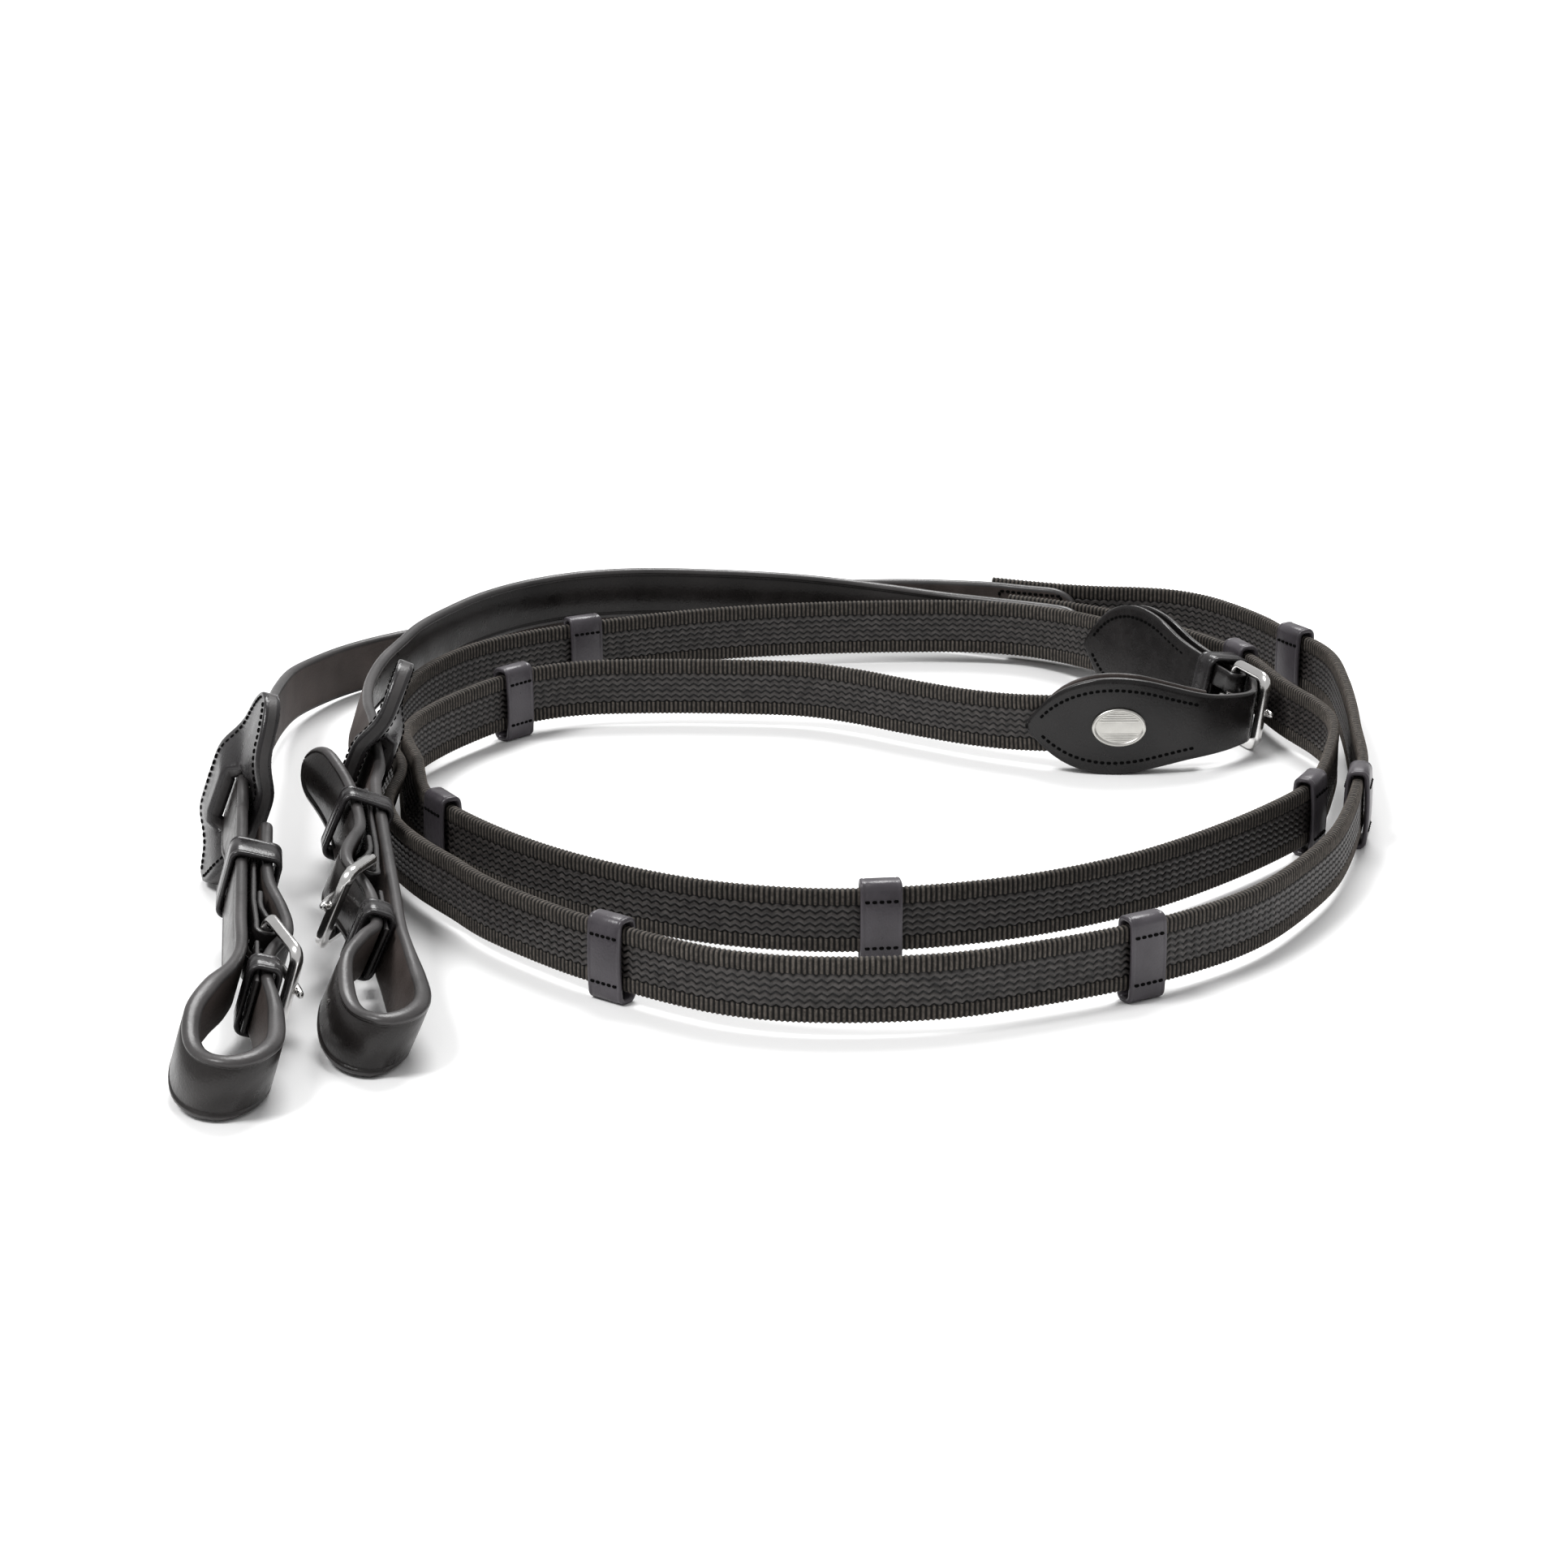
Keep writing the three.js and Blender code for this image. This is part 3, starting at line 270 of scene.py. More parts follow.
def strap_route(side):
    bit = BIT_ENDS[side]
    local = [bit["end"].row(a, n) for a, n in bit["billet"] + bit["loop"] + bit["straight"]]
    lap = [GRIPS[side].at(s, LAP_OFFSET) for s in (2, 9, 18, WEBBING_LAP)]
    return Route(local + LEATHER_ROWS[side] + lap)


STRAPS = [strap_route(0), strap_route(1)]

# ---------------- materials


def new_material(name):
    material = bpy.data.materials.new(name)
    material.use_nodes = True
    tree = material.node_tree
    return material, tree, tree.nodes["Principled BSDF"]


def link(tree, a, b):
    tree.links.new(a, b)


def add_node(tree, kind, links, values=None):
    """A new node, with its input sockets linked to other nodes or given values."""
    node = tree.nodes.new("ShaderNode" + kind)
    for socket, value in (values or {}).items():
        node.inputs[socket].default_value = value
    for socket, source in links.items():
        link(tree, source, node.inputs[socket])
    return node


def ramp(tree, source, stops):
    node = add_node(tree, "ValToRGB", {"Fac": source})
    for k, (place, colour) in enumerate(stops):
        stop = node.color_ramp.elements[k]
        stop.position = place
        stop.color = (*colour, 1)
    return node.outputs[0]


def noise(tree, place, scale, detail=3.0, roughness=0.55):
    values = {"Scale": scale, "Detail": detail, "Roughness": roughness}
    return add_node(tree, "TexNoise", {"Vector": place}, values).outputs[0]


def bump(tree, height, strength, distance, after=None):
    links = {"Height": height}
    if after is not None:
        links["Normal"] = after
    return add_node(tree, "Bump", links, {"Strength": strength, "Distance": distance}).outputs[0]


def uneven(tree, value, rough, less, more):
    """Roughness that varies about a value."""
    values = {"To Min": rough - less, "To Max": rough + more}
    return add_node(tree, "MapRange", {"Value": value}, values).outputs[0]


def object_coordinates(tree):
    return tree.nodes.new("ShaderNodeTexCoord").outputs["Object"]


def leather(name, dark, light, rough, grain=0.35):
    """Finished leather: pores and fine wrinkles, patches of wear and a slow change of tone."""
    material, tree, shader = new_material(name)
    place = object_coordinates(tree)
    tone = noise(tree, place, 60, 4)
    link(tree, ramp(tree, tone, [(0.3, dark), (0.72, light)]), shader.inputs["Base Color"])
    wear = noise(tree, place, 240)
    link(tree, uneven(tree, wear, rough, 0.09, 0.13), shader.inputs["Roughness"])
    cells = add_node(tree, "TexVoronoi", {"Vector": place}, {"Scale": 1500})
    pores = bump(tree, cells.outputs["Distance"], grain, 0.00008)
    creases = bump(tree, noise(tree, place, 420, 4, 0.6), grain * 0.8, 0.00016, pores)
    link(tree, creases, shader.inputs["Normal"])
    return material


def painted_gap_shade(tree, colour, dark, start, end):
    """Painted shade: darkens a colour in the gaps between ribs and cords, where shade would fall."""
    height = tree.nodes.new("ShaderNodeAttribute")
    height.attribute_name = "painted_gap_shade"
    share = ramp(tree, height.outputs["Fac"], [(start, (dark,) * 3), (end, (1, 1, 1))])
    mix = tree.nodes.new("ShaderNodeMix")
    mix.data_type, mix.blend_type = "RGBA", "MULTIPLY"
    mix.inputs["Factor"].default_value = 1
    link(tree, colour, mix.inputs["A"])
    link(tree, share, mix.inputs["B"])
    return mix.outputs["Result"]


def woven(name, dark, light, rough, gaps=None):
    """Cotton yarn: fine fibres across the strap and uneven dye. Given gaps, it carries painted shade
    between its ribs and cords.
    """
    material, tree, shader = new_material(name)
    place = object_coordinates(tree)
    colour = ramp(tree, noise(tree, place, 900, 4, 0.7), [(0.3, dark), (0.72, light)])
    if gaps:
        colour = painted_gap_shade(tree, colour, *gaps)
    link(tree, colour, shader.inputs["Base Color"])
    shader.inputs["Roughness"].default_value = rough
    stretched = add_node(tree, "Mapping", {"Vector": place}, {"Scale": (1, 1, 0.25)}).outputs[0]
    fibres = bump(tree, noise(tree, stretched, 3600, 3, 0.7), 0.5, 0.00012)
    link(tree, fibres, shader.inputs["Normal"])
    return material


def rubber(name, dark, light, rough, gaps):
    """Moulded rubber, dull and finely pitted, with painted shade in the gaps between its cords."""
    material, tree, shader = new_material(name)
    place = object_coordinates(tree)
    colour = ramp(tree, noise(tree, place, 500), [(0.3, dark), (0.7, light)])
    link(tree, painted_gap_shade(tree, colour, *gaps), shader.inputs["Base Color"])
    wear = noise(tree, place, 700, 2)
    link(tree, uneven(tree, wear, rough, 0.08, 0.1), shader.inputs["Roughness"])
    link(tree, bump(tree, noise(tree, place, 2600), 0.3, 0.00007), shader.inputs["Normal"])
    return material


def metal(name, colour, rough, scratch=0.12):
    """Plated metal with a faint change of tone and fine scratches."""
    material, tree, shader = new_material(name)
    place = object_coordinates(tree)
    tone = noise(tree, place, 260)
    stops = [(0.3, tuple(c * 0.9 for c in colour)), (0.7, colour)]
    link(tree, ramp(tree, tone, stops), shader.inputs["Base Color"])
    shader.inputs["Metallic"].default_value = 1.0
    wear = noise(tree, place, 500, 4)
    link(tree, uneven(tree, wear, rough, 0.05, 0.09), shader.inputs["Roughness"])
    link(tree, bump(tree, noise(tree, place, 1800), scratch, 0.00003), shader.inputs["Normal"])
    return material


MATERIAL = {
    "strap": leather("strap_leather", (0.016, 0.0142, 0.0138), (0.038, 0.0342, 0.0335), 0.28),
    "leaf": leather("leaf_leather", (0.009, 0.0082, 0.0082), (0.023, 0.021, 0.021), 0.24, 0.16),
    # The painted edge is lighter than the black leathers beside it: a painted highlight, as if light
    # caught the edges.
    "edge": leather("edge_paint_and_highlight", (0.042, 0.04, 0.04), (0.082, 0.077, 0.077), 0.34, 0.25),
    "flesh": leather("flesh_side", (0.052, 0.042, 0.038), (0.105, 0.086, 0.08), 0.6, 0.6),
    "keeper": leather("keeper_leather", (0.016, 0.015, 0.0155), (0.04, 0.037, 0.039), 0.26),
    # The hand stops' band leather is a lighter copy of the black leather: painted light on the
    # stops' faces.
    "band": leather("band_leather_painted_light", (0.052, 0.047, 0.053), (0.1, 0.092, 0.102), 0.3),
    # The last three numbers of the webbing and the rubber set their painted shade between ribs and
    # cords: its darkest share, then where it starts and stops fading to full colour.
    "webbing": woven("edge_webbing", (0.045, 0.039, 0.034), (0.15, 0.132, 0.116), 0.85,
                     (0.04, 0.25, 0.75)),
    "rubber": rubber("grip_rubber", (0.028, 0.025, 0.024), (0.078, 0.071, 0.068), 0.42,
                     (0.02, 0.3, 0.95)),
    "nickel": metal("polished_nickel", (0.78, 0.77, 0.76), 0.16),
    "badge": metal("satin_nickel", (0.6, 0.59, 0.56), 0.34, 0.25),
    "thread": woven("waxed_thread", (0.002, 0.002, 0.002), (0.004, 0.004, 0.004), 0.8),
}
SPECULAR_LEVELS = {"strap": 0.45, "leaf": 0.45, "band": 0.42, "thread": 0.1}
for finish, level in SPECULAR_LEVELS.items():
    shader = MATERIAL[finish].node_tree.nodes["Principled BSDF"]
    shader.inputs["Specular IOR Level"].default_value = level

# ---------------- meshes


class Shape:
    """Gathers closed shells, in millimetres, into one mesh. A slot is a face's material."""

    def __init__(self, shell):
        self.v, self.f, self.slots, self.count = [], [], [], 0
        self.add(*shell)

    def add(self, vertices, faces, slots):
        self.v.append(np.asarray(vertices, float))
        self.f.extend(tuple(int(k) + self.count for k in f) for f in faces)
        self.slots.extend(slots)
        self.count += len(vertices)

    def piece(self, name, materials, node, body="reins", slot="leather"):
        """A smooth mesh, riding on its body and standing for its node. Its winding is judged from
        the first two triangles of each face, so an end cap of many corners counts only in part."""
        v = (np.vstack(self.v) - BED_CENTRE) * MM
        pairs = [(f[0], f[k], f[k + 1]) for f in self.f for k in range(1, min(len(f), 4) - 1)]
        a, b, c = v[np.array(pairs).T]
        inside_out = np.einsum("ij,ij->i", a, np.cross(b, c)).sum() < 0
        mesh = bpy.data.meshes.new(name)
        mesh.from_pydata(v.tolist(), [], [f[::-1] for f in self.f] if inside_out else self.f)
        for key in materials:
            mesh.materials.append(MATERIAL[key])
        mesh.polygons.foreach_set("material_index", np.asarray(self.slots, np.int32))
        mesh.shade_smooth()
        mesh.update()
        piece = bpy.data.objects.new(name, mesh)
        bpy.context.scene.collection.objects.link(piece)
        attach(piece, body)
        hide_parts(node)
        return piece


def loft(rings, closed=False, kinds=None):
    """rings (M, K, 3) joined in order; capped at both ends unless closed. kinds: a slot per k."""
    m, k = rings.shape[:2]
    v = rings.reshape(-1, 3)
    faces, marks = [], []
    for i in range(m if closed else m - 1):
        a, b = i * k, ((i + 1) % m) * k
        for j in range(k):
            q = (j + 1) % k
            faces.append((a + j, a + q, b + q, b + j))
            marks.append(kinds[j] if kinds is not None else 0)
    if not closed:
        faces.append(tuple(range(k - 1, -1, -1)))
        faces.append(tuple((m - 1) * k + j for j in range(k)))
        marks += [0, 0]
    return v, faces, marks


def sweep(route, s, profiles):
    """profiles (M, K, 2) of n, w carried along the route at its M distances s."""
    p, _, n, w = route.frame(s)
    return p[:, None] + profiles[..., :1] * n[:, None] + profiles[..., 1:] * w[:, None]


def strap_profile(half, grain_side, swell, crease=2.0, depth=0.26):
    """A strap's section, with rounded edges and, on its grain side, a crease inside each edge.
    The ring is face +n, edge -w, face -n, edge +w. swell thickens it on its flesh side."""
    t = STRAP_THICK / 2
    r = 0.8 * t
    scale = min(1.0, half / (crease + 1.2))
    cuts = np.array([r / crease, 0.78, 0.92, 1.08, 1.25]) * crease * scale
    dips = np.array([0, 0, depth, depth, 0])

    def face(sign):
        level = t - dips * (sign == grain_side)
        outer = [(sign * a, half - d) for a, d in zip(level, cuts)]
        return outer + [(sign * (t + 0.06), 0.0)] + [(a, -b) for a, b in reversed(outer)]

    turn = np.linspace(0, math.pi, 9)[1:-1]
    low = [(t * math.cos(a), -half + r * scale * (1 - math.sin(a))) for a in turn]
    ring = np.array(face(1) + low + face(-1)[::-1] + [(-n, -w) for n, w in low])
    ring[:, 0] = ring[:, 0] * (1 + 0.5 * swell / t) - 0.5 * swell * grain_side
    return ring


FACE_POINTS, EDGE_POINTS = 11, 7


def strap_kinds(grain_side):
    """Slots round a strap's section: 0 grain, 1 painted edge, lightened as a painted highlight, 2
    flesh.
    """
    front, back = (0, 2) if grain_side > 0 else (2, 0)
    return ([front] * (FACE_POINTS - 1) + [1] * (EDGE_POINTS + 1)
            + [back] * (FACE_POINTS - 1) + [1] * (EDGE_POINTS + 1))


def tube(points, radius, sides, closed=False, squareness=2.0):
    """Wire through points; radius may be a list. Squareness over 2 gives it flats."""
    p = np.asarray(points, float)
    m = len(p)
    t = unit(np.roll(p, -1, 0) - np.roll(p, 1, 0)) if closed else unit(np.gradient(p, axis=0))
    radii = np.broadcast_to(np.asarray(radius, float), (m,))
    normal = np.cross(t[0], [0.0, 0.0, 1.0] if abs(t[0][2]) < 0.9 else [1.0, 0.0, 0.0])
    angle = np.linspace(0, 2 * math.pi, sides, endpoint=False)
    c, q = np.cos(angle), np.sin(angle)
    swell = (np.abs(c) ** squareness + np.abs(q) ** squareness) ** (-1 / squareness)
    c, q = (c * swell)[:, None], (q * swell)[:, None]
    rings = []
    for i in range(m):
        normal = unit(normal - t[i] * (normal @ t[i]))
        other = np.cross(t[i], normal)
        rings.append(p[i] + radii[i] * (c * normal + q * other))
    return loft(np.array(rings), closed)


def slab(points, normals, inset, thick, rounding, hole=None):
    """A sheet of thick leather on an (I, J) grid. inset is each grid point's distance from the
    sheet's edge, which rounds the rim; hole is the index of the cells that are cut away."""
    count_i, count_j = inset.shape
    d = np.clip(inset, 0, rounding)
    rise = thick / 2 - rounding + np.sqrt(np.maximum(rounding ** 2 - (rounding - d) ** 2, 0))
    top = points + normals * rise[..., None]
    low = points - normals * rise[..., None]
    v = np.concatenate([top.reshape(-1, 3), low.reshape(-1, 3)])
    size = count_i * count_j
    solid = np.ones((count_i - 1, count_j - 1), bool)
    if hole is not None:
        solid[hole] = False
    around = np.pad(solid, 1)
    faces, marks = [], []
    for i, j in np.argwhere(solid):
        a, b = i * count_j + j, (i + 1) * count_j + j
        faces += [(a, b, b + 1, a + 1), (size + a, size + a + 1, size + b + 1, size + b)]
        marks += [0, 0]
        for step_i, step_j, x, y in ((0, -1, b, a), (0, 1, a + 1, b + 1),
                                     (-1, 0, a, a + 1), (1, 0, b + 1, b)):
            if not around[i + 1 + step_i, j + 1 + step_j]:
                faces.append((x, y, size + y, size + x))
                marks.append(1)
    used = np.unique(np.concatenate([np.array(f) for f in faces]))
    new = np.full(len(v), -1)
    new[used] = np.arange(len(used))
    return v[used], [tuple(new[list(f)]) for f in faces], marks


def lines(low, high, rounding, middle):
    """Grid lines from low to high, close together where the rim is rounded."""
    edge = np.array([0, 0.12, 0.38, 1.0]) * rounding
    between = np.linspace(low + rounding, high - rounding, middle + 2)[1:-1]
    return np.concatenate([low + edge, between, (high - edge)[::-1]])


def stitches(shape, points, normals, slot, radius=0.42):
    """A short dark stitch, half sunk in the leather, between each hole and the next along points."""
    points, normals = np.asarray(points, float), unit(np.asarray(normals, float))
    share = np.array([-1, -0.72, 0, 0.72, 1])
    height = np.array([-0.35, 0, 0, 0, -0.35])
    radii = [radius * k for k in (0.7, 1, 1.08, 1, 0.7)]
    for i in range(len(points) - 1):
        way = points[i + 1] - points[i]
        gap = np.linalg.norm(way)
        way /= gap
        half = min(STITCH_LENGTH, gap * 0.82) / 2
        middle = (points[i] + points[i + 1]) / 2
        normal = unit(normals[i] + normals[i + 1])
        line = middle + way * (share * half)[:, None] + normal * height[:, None]
        v, f, _ = tube(line, radii, 6)
        shape.add(v, f, [slot] * len(f))


def even(points):
    """Stitch holes, spaced evenly along a polyline."""
    p = np.asarray(points, float)
    s = np.concatenate([[0], np.cumsum(np.linalg.norm(np.diff(p, axis=0), axis=1))])
    at = steps(0, s[-1], STITCH_PITCH)
    return np.column_stack([np.interp(at, s, p[:, k]) for k in range(3)])


def sew(shape, line, normals, slot):
    """A row of stitches along line, on the surface whose normals are given along it."""
    spaced = even(line)
    near = [normals[int(np.argmin(np.linalg.norm(line - q, axis=1)))] for q in spaced]
    stitches(shape, spaced, np.array(near), slot)


# ---------------- grip webbing


def webbing_section():
    """n, w, kind and height round one face of the webbing. Kind 0 is an edge, 1 the middle."""
    t, half, panel = WEBBING_THICK / 2, WEBBING_WIDTH / 2, RUBBER_ROWS * ROW_PITCH / 2
    edge = [(0.5 * t, half - 0.1), (0.9 * t, half - 0.5), (t, half - 1.3), (t, panel + 0.9),
            (0.94 * t, panel + 0.2)]
    face = [(n, w, 0, 0.0) for n, w in edge]
    for k in range(RUBBER_ROWS):
        top = panel - k * ROW_PITCH
        for share, high in ((0.04, 0), (0.27, 1), (0.73, 1)):
            face.append((t, top - share * ROW_PITCH, 1, high))
    face.append((t, -panel + 0.04, 1, 0))
    face += [(n, -w, 0, 0.0) for n, w in reversed(edge)]
    return np.array(face)


def build_webbing(side):
    """Two stations stand on each rib: its crest, and the gap after it."""
    route = GRIPS[side]
    s = np.arange(0, WEBBING_END[side], RIB_PITCH / 2)
    face = webbing_section()
    tip = np.array([[0.0, WEBBING_WIDTH / 2, 0, 0]])
    ring = np.vstack([face, tip * [1, -1, 1, 1], face[::-1] * [-1, 1, 1, 1], tip])
    crest = np.where(np.arange(len(s)) % 2 == 0, 1.0, -1.0)[:, None]
    zigzag = np.array([-1.0, 0.0, 1.0, 0.0])[np.arange(len(s)) % 4][:, None]
    is_edge = (ring[:, 2] == 0)[None]
    n, w, high = ring[None, :, 0], ring[None, :, 1], ring[None, :, 3]
    outward = np.where(is_edge, RIB_DEPTH * crest, 0.5 * high - 0.45 + 0.08 * high * crest)
    sideways = np.where(is_edge, np.sign(w) * 0.1 * crest * (np.abs(w) > 7.3), ZIGZAG * zigzag)
    rings = sweep(route, s, np.stack([n + np.sign(n) * outward, w + sideways], -1))
    kinds = [int(ring[k, 2] == 1 and ring[(k + 1) % len(ring), 2] == 1) for k in range(len(ring))]
    shape = Shape(loft(rings, kinds=kinds))
    piece = shape.piece(f"rein_{side + 1}_grip", ["webbing", "rubber"],
                        f"rein_{side + 1}_grip_webbing", slot="grip_webbing")
    # Painted shade: full colour on the crests of ribs and cords, darkest in the gaps between them.
    shade = np.where(is_edge, 0.5 + 0.5 * crest, high + 0 * crest)
    layer = piece.data.attributes.new("painted_gap_shade", "FLOAT", "POINT")
    layer.data.foreach_set("value", shade.astype(np.float32).ravel())
    path = (route.frame(steps(0, s[-1], 6))[0] - BED_CENTRE) * MM
    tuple(path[0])


for rein in (0, 1):
    build_webbing(rein)

# ---------------- hand stops


def rounded_ring(half_n, half_w, corner, arc, straight):
    """Points and outward directions round a rounded rectangle in n, w."""
    points, outs = [], []
    for sn, sw, start in ((1, 1, 0), (-1, 1, 90), (-1, -1, 180), (1, -1, 270)):
        centre = np.array([sn * (half_n - corner), sw * (half_w - corner)])
        for k in range(arc + 1):
            angle = math.radians(start + 90 * k / arc)
            out = np.array([math.cos(angle), math.sin(angle)])
            points.append(centre + corner * out)
            outs.append(out)
    dense_p, dense_o = [], []
    for k in range(len(points)):
        a, b = points[k], points[(k + 1) % len(points)]
        cuts = straight if np.linalg.norm(b - a) > 2.5 else 1
        for c in range(cuts):
            dense_p.append(a + (b - a) * c / cuts)
            dense_o.append(unit(outs[k] + (outs[(k + 1) % len(points)] - outs[k]) * c / cuts))
    return np.array(dense_p), np.array(dense_o)


def band_section(width, thick, groove, depth):
    """Along, out: a flat band's section with a fine crease inside each edge on its outer face."""
    t, half = thick / 2, width / 2
    r = t * 0.7
    outer = [(half, t - r), (half - 0.3 * r, t - 0.3 * r), (half - r, t), (half - groove + 0.3, t),
             (half - groove, t - depth), (half - groove - 0.3, t)]
    mirrored = [(-a, b) for a, b in reversed(outer)]
    inner = [(-half, -t + r), (-half + r, -t), (half - r, -t), (half, -t + r)]
    return outer + mirrored + inner


def band(place, ring, outs, width, thick, groove, depth):
    """A closed band of leather: place(along, n, w) is a point, ring and outs its middle line."""
    section = band_section(width, thick, groove, depth)
    rings = [[place(a, *(p + o * q)) for a, q in section] for p, o in zip(ring, outs)]
    return loft(np.array(rings), closed=True)


def build_hand_stop(side, index, at):
    route = GRIPS[side]
    _, _, n, _ = route.frame(at)

    def place(along, x, y):
        q, _, right, up = route.frame(at + along)
        return (q + right * x + up * (y - 0.5))[0]

    half_n = WEBBING_THICK / 2 + 0.45 + STOP_SKIN / 2
    ring, outs = rounded_ring(half_n, STOP_HEIGHT / 2 - STOP_SKIN / 2, 1.35, arc=4, straight=8)
    belly = 1 - (ring[:, 1] / (STOP_HEIGHT / 2)) ** 2
    ring[:, 0] += np.sign(ring[:, 0]) * (0.35 * belly - 0.25 * (1 - belly))
    shape = Shape(band(place, ring, outs, STOP_LENGTH, STOP_SKIN, groove=1.1, depth=0.12))
    face = half_n + STOP_SKIN / 2 + 0.15
    for sign in (-1, 1):
        for level in (-5.8, 6.0):
            row = np.array([place(a, sign * face, level) for a in np.linspace(-4.2, 4.2, 6)])
            stitches(shape, row, np.repeat(n * sign, 6, 0), 1, radius=0.38)
    # The band leather is lighter than the strap: painted light on the stops' faces.
    shape.piece(f"rein_{side + 1}_hand_stop_band_{index + 1}", ["band", "thread"],
                f"rein_{side + 1}_hand_stop_{index + 1}")


for rein, stops in enumerate(HAND_STOPS):
    for number, distance in enumerate(stops):
        build_hand_stop(rein, number, distance)

# ---------------- leather straps


def strap_stations(length):
    """Distances along a strap, close together at its rounded ends."""
    near = STRAP_TIP * np.array([0, 0.02, 0.07, 0.15, 0.26, 0.4, 0.56, 0.76, 1.0])
    middle = steps(STRAP_TIP, length - STRAP_TIP, 1.8)[1:-1]
    return np.concatenate([near, middle, (length - near)[::-1]])


def strap_halves(s, length, least=0.16):
    """Half widths of a strap with rounded ends. The very end keeps a least share of the width."""
    share = np.clip(np.minimum(s, length - s) / STRAP_TIP, 0, 1)
    return STRAP_WIDTH / 2 * (least + (1 - least) * np.sqrt(1 - (1 - share) ** 2))


def add_lap_stitches(shape, side):
    """A stitched box where the strap laps the start of the webbing, on the two outer faces."""
    grip = GRIPS[side]
    low_s, high_s, half = 3.5, WEBBING_LAP - 4.5, 5.4
    corners = [(low_s, -half), (high_s, -half), (high_s, half), (low_s, half), (low_s, -half)]
    for face, reach in ((-1, WEBBING_THICK / 2 + 0.1), (1, LAP_OFFSET + STRAP_THICK / 2)):
        for (start, low), (end, high) in zip(corners, corners[1:]):
            p, _, n, w = grip.frame(np.linspace(start, end, 16))
            line = p + n * face * reach + w * np.linspace(low, high, 16)[:, None]
            sew(shape, line, n * face, 3)


def build_strap(side):
    """The loop round the bit has the flesh side in, so the other face carries the creases."""
    bit, route = BIT_ENDS[side], STRAPS[side]
    grain_side = -1 if side == 0 else 1
    s = strap_stations(route.length)
    halves = strap_halves(s, route.length)
    begin = route.nearest(bit["end"].at(*bit["loop"][2]), 0, 200)
    finish = route.nearest(bit["end"].at(*bit["loop"][-2]), begin + 40, 300)
    swell = LOOP_SWELL * smoothstep(s, begin - 6, begin + 12)
    swell *= 1 - smoothstep(s, finish - 14, finish + 4)
    profiles = np.array([strap_profile(h, grain_side, x) for h, x in zip(halves, swell)])
    shape = Shape(loft(sweep(route, s, profiles), kinds=strap_kinds(grain_side)))
    add_lap_stitches(shape, side)
    shape.piece(f"rein_{side + 1}_strap", ["strap", "edge", "flesh", "thread"],
                f"rein_{side + 1}_leather_strap")


for rein in (0, 1):
    build_strap(rein)


def bit_grid(end, path, thick, rounding, slot=None):
    """A strip on a bit end along path rows (a, n, da, dn), with rounded rims. slot: the first and
    last row of the slot that a buckle's tongue comes through."""
    half = CHAPE_WIDTH / 2
    path = np.array(path, float)
    across = lines(-half, half, rounding, 3)
    if slot is not None:
        across = np.unique(np.concatenate([across, [-SLOT_HALF, SLOT_HALF]]))
    gaps = np.concatenate([[0], np.cumsum(np.linalg.norm(np.diff(path[:, :2], axis=0), axis=1))])
    points = np.array([[end.at(a, n, h) for h in across] for a, n, _, _ in path])
    out = unit(path[:, 2:3] * end.a + path[:, 3:] * end.n)
    normals = np.repeat(out[:, None], len(across), 1)
    edge = half - np.abs(across)
    along = np.minimum(gaps, gaps[-1] - gaps)
    inset = np.minimum(edge[None], along[:, None])
    hole = None
    if slot is not None:
        twice = across[:-1] + across[1:]
        hole = np.ix_(range(*slot), np.flatnonzero(np.abs(twice) < 2 * SLOT_HALF))
    return slab(points, normals, inset, thick, rounding, hole)


def build_chape(side):
    """The strip runs from under the keepers, round the hinge bar and back, sewn at both edges."""
    end = BIT_ENDS[side]["end"]
    hinge_a, hinge_n = BIT_ENDS[side]["hinge"]
    fold = BAR_FOLD + CHAPE_THICK / 2
    near = 3.0
    top = near + CHAPE_THICK + 0.08
    path = [(hinge_a + x, near, 0, -1) for x in (50, 49.8, 49.3, 48, 40, 30, 22, 15)]
    path += [(hinge_a + 9, near + (hinge_n - fold - near) * 0.5, 0.05, -1),
             (hinge_a + 3, hinge_n - fold, 0, -1)]
    first = len(path)
    for angle in np.linspace(-math.pi / 2, -1.5 * math.pi, 15):
        c, q = math.cos(angle), math.sin(angle)
        path.append((hinge_a + fold * c, hinge_n + fold * q, c, q))
    last = len(path)
    path += [(hinge_a + 3, hinge_n + fold - 0.2, 0.1, 1), (hinge_a + 7, top + 1.6, 0.22, 1),
             (hinge_a + 11, top + 0.35, 0.12, 1)]
    path += [(hinge_a + x, top, 0, 1) for x in (14, 18, 19.5, 19.9, 20.1)]
    shape = Shape(bit_grid(end, path, CHAPE_THICK, 0.45, (first - 1, last)))
    for h in (-CHAPE_WIDTH / 2 + 1.9, CHAPE_WIDTH / 2 - 1.9):
        for start, stop, layer in ((14, 19, top), (22, 48, near)):
            row = even([end.at(hinge_a + a, layer + CHAPE_THICK / 2, h) for a in (start, stop)])
            stitches(shape, row, np.repeat(end.n[None], len(row), 0), 2)
    shape.piece(f"rein_{side + 1}_chape", ["leaf", "edge", "thread"],
                f"rein_{side + 1}_buckle_chape")


def build_tab(side):
    bit = BIT_ENDS[side]
    low, high = bit["lower"][0] - 3, bit["lower"][1] + 11
    path = [(a, 3.9, 0, 1) for a in lines(low, high, 0.4, 6)]
    shape = Shape(bit_grid(bit["end"], path, TAB_THICK, 0.4))
    shape.piece(f"rein_{side + 1}_tab", ["leaf", "edge"], f"rein_{side + 1}_keeper_tab")


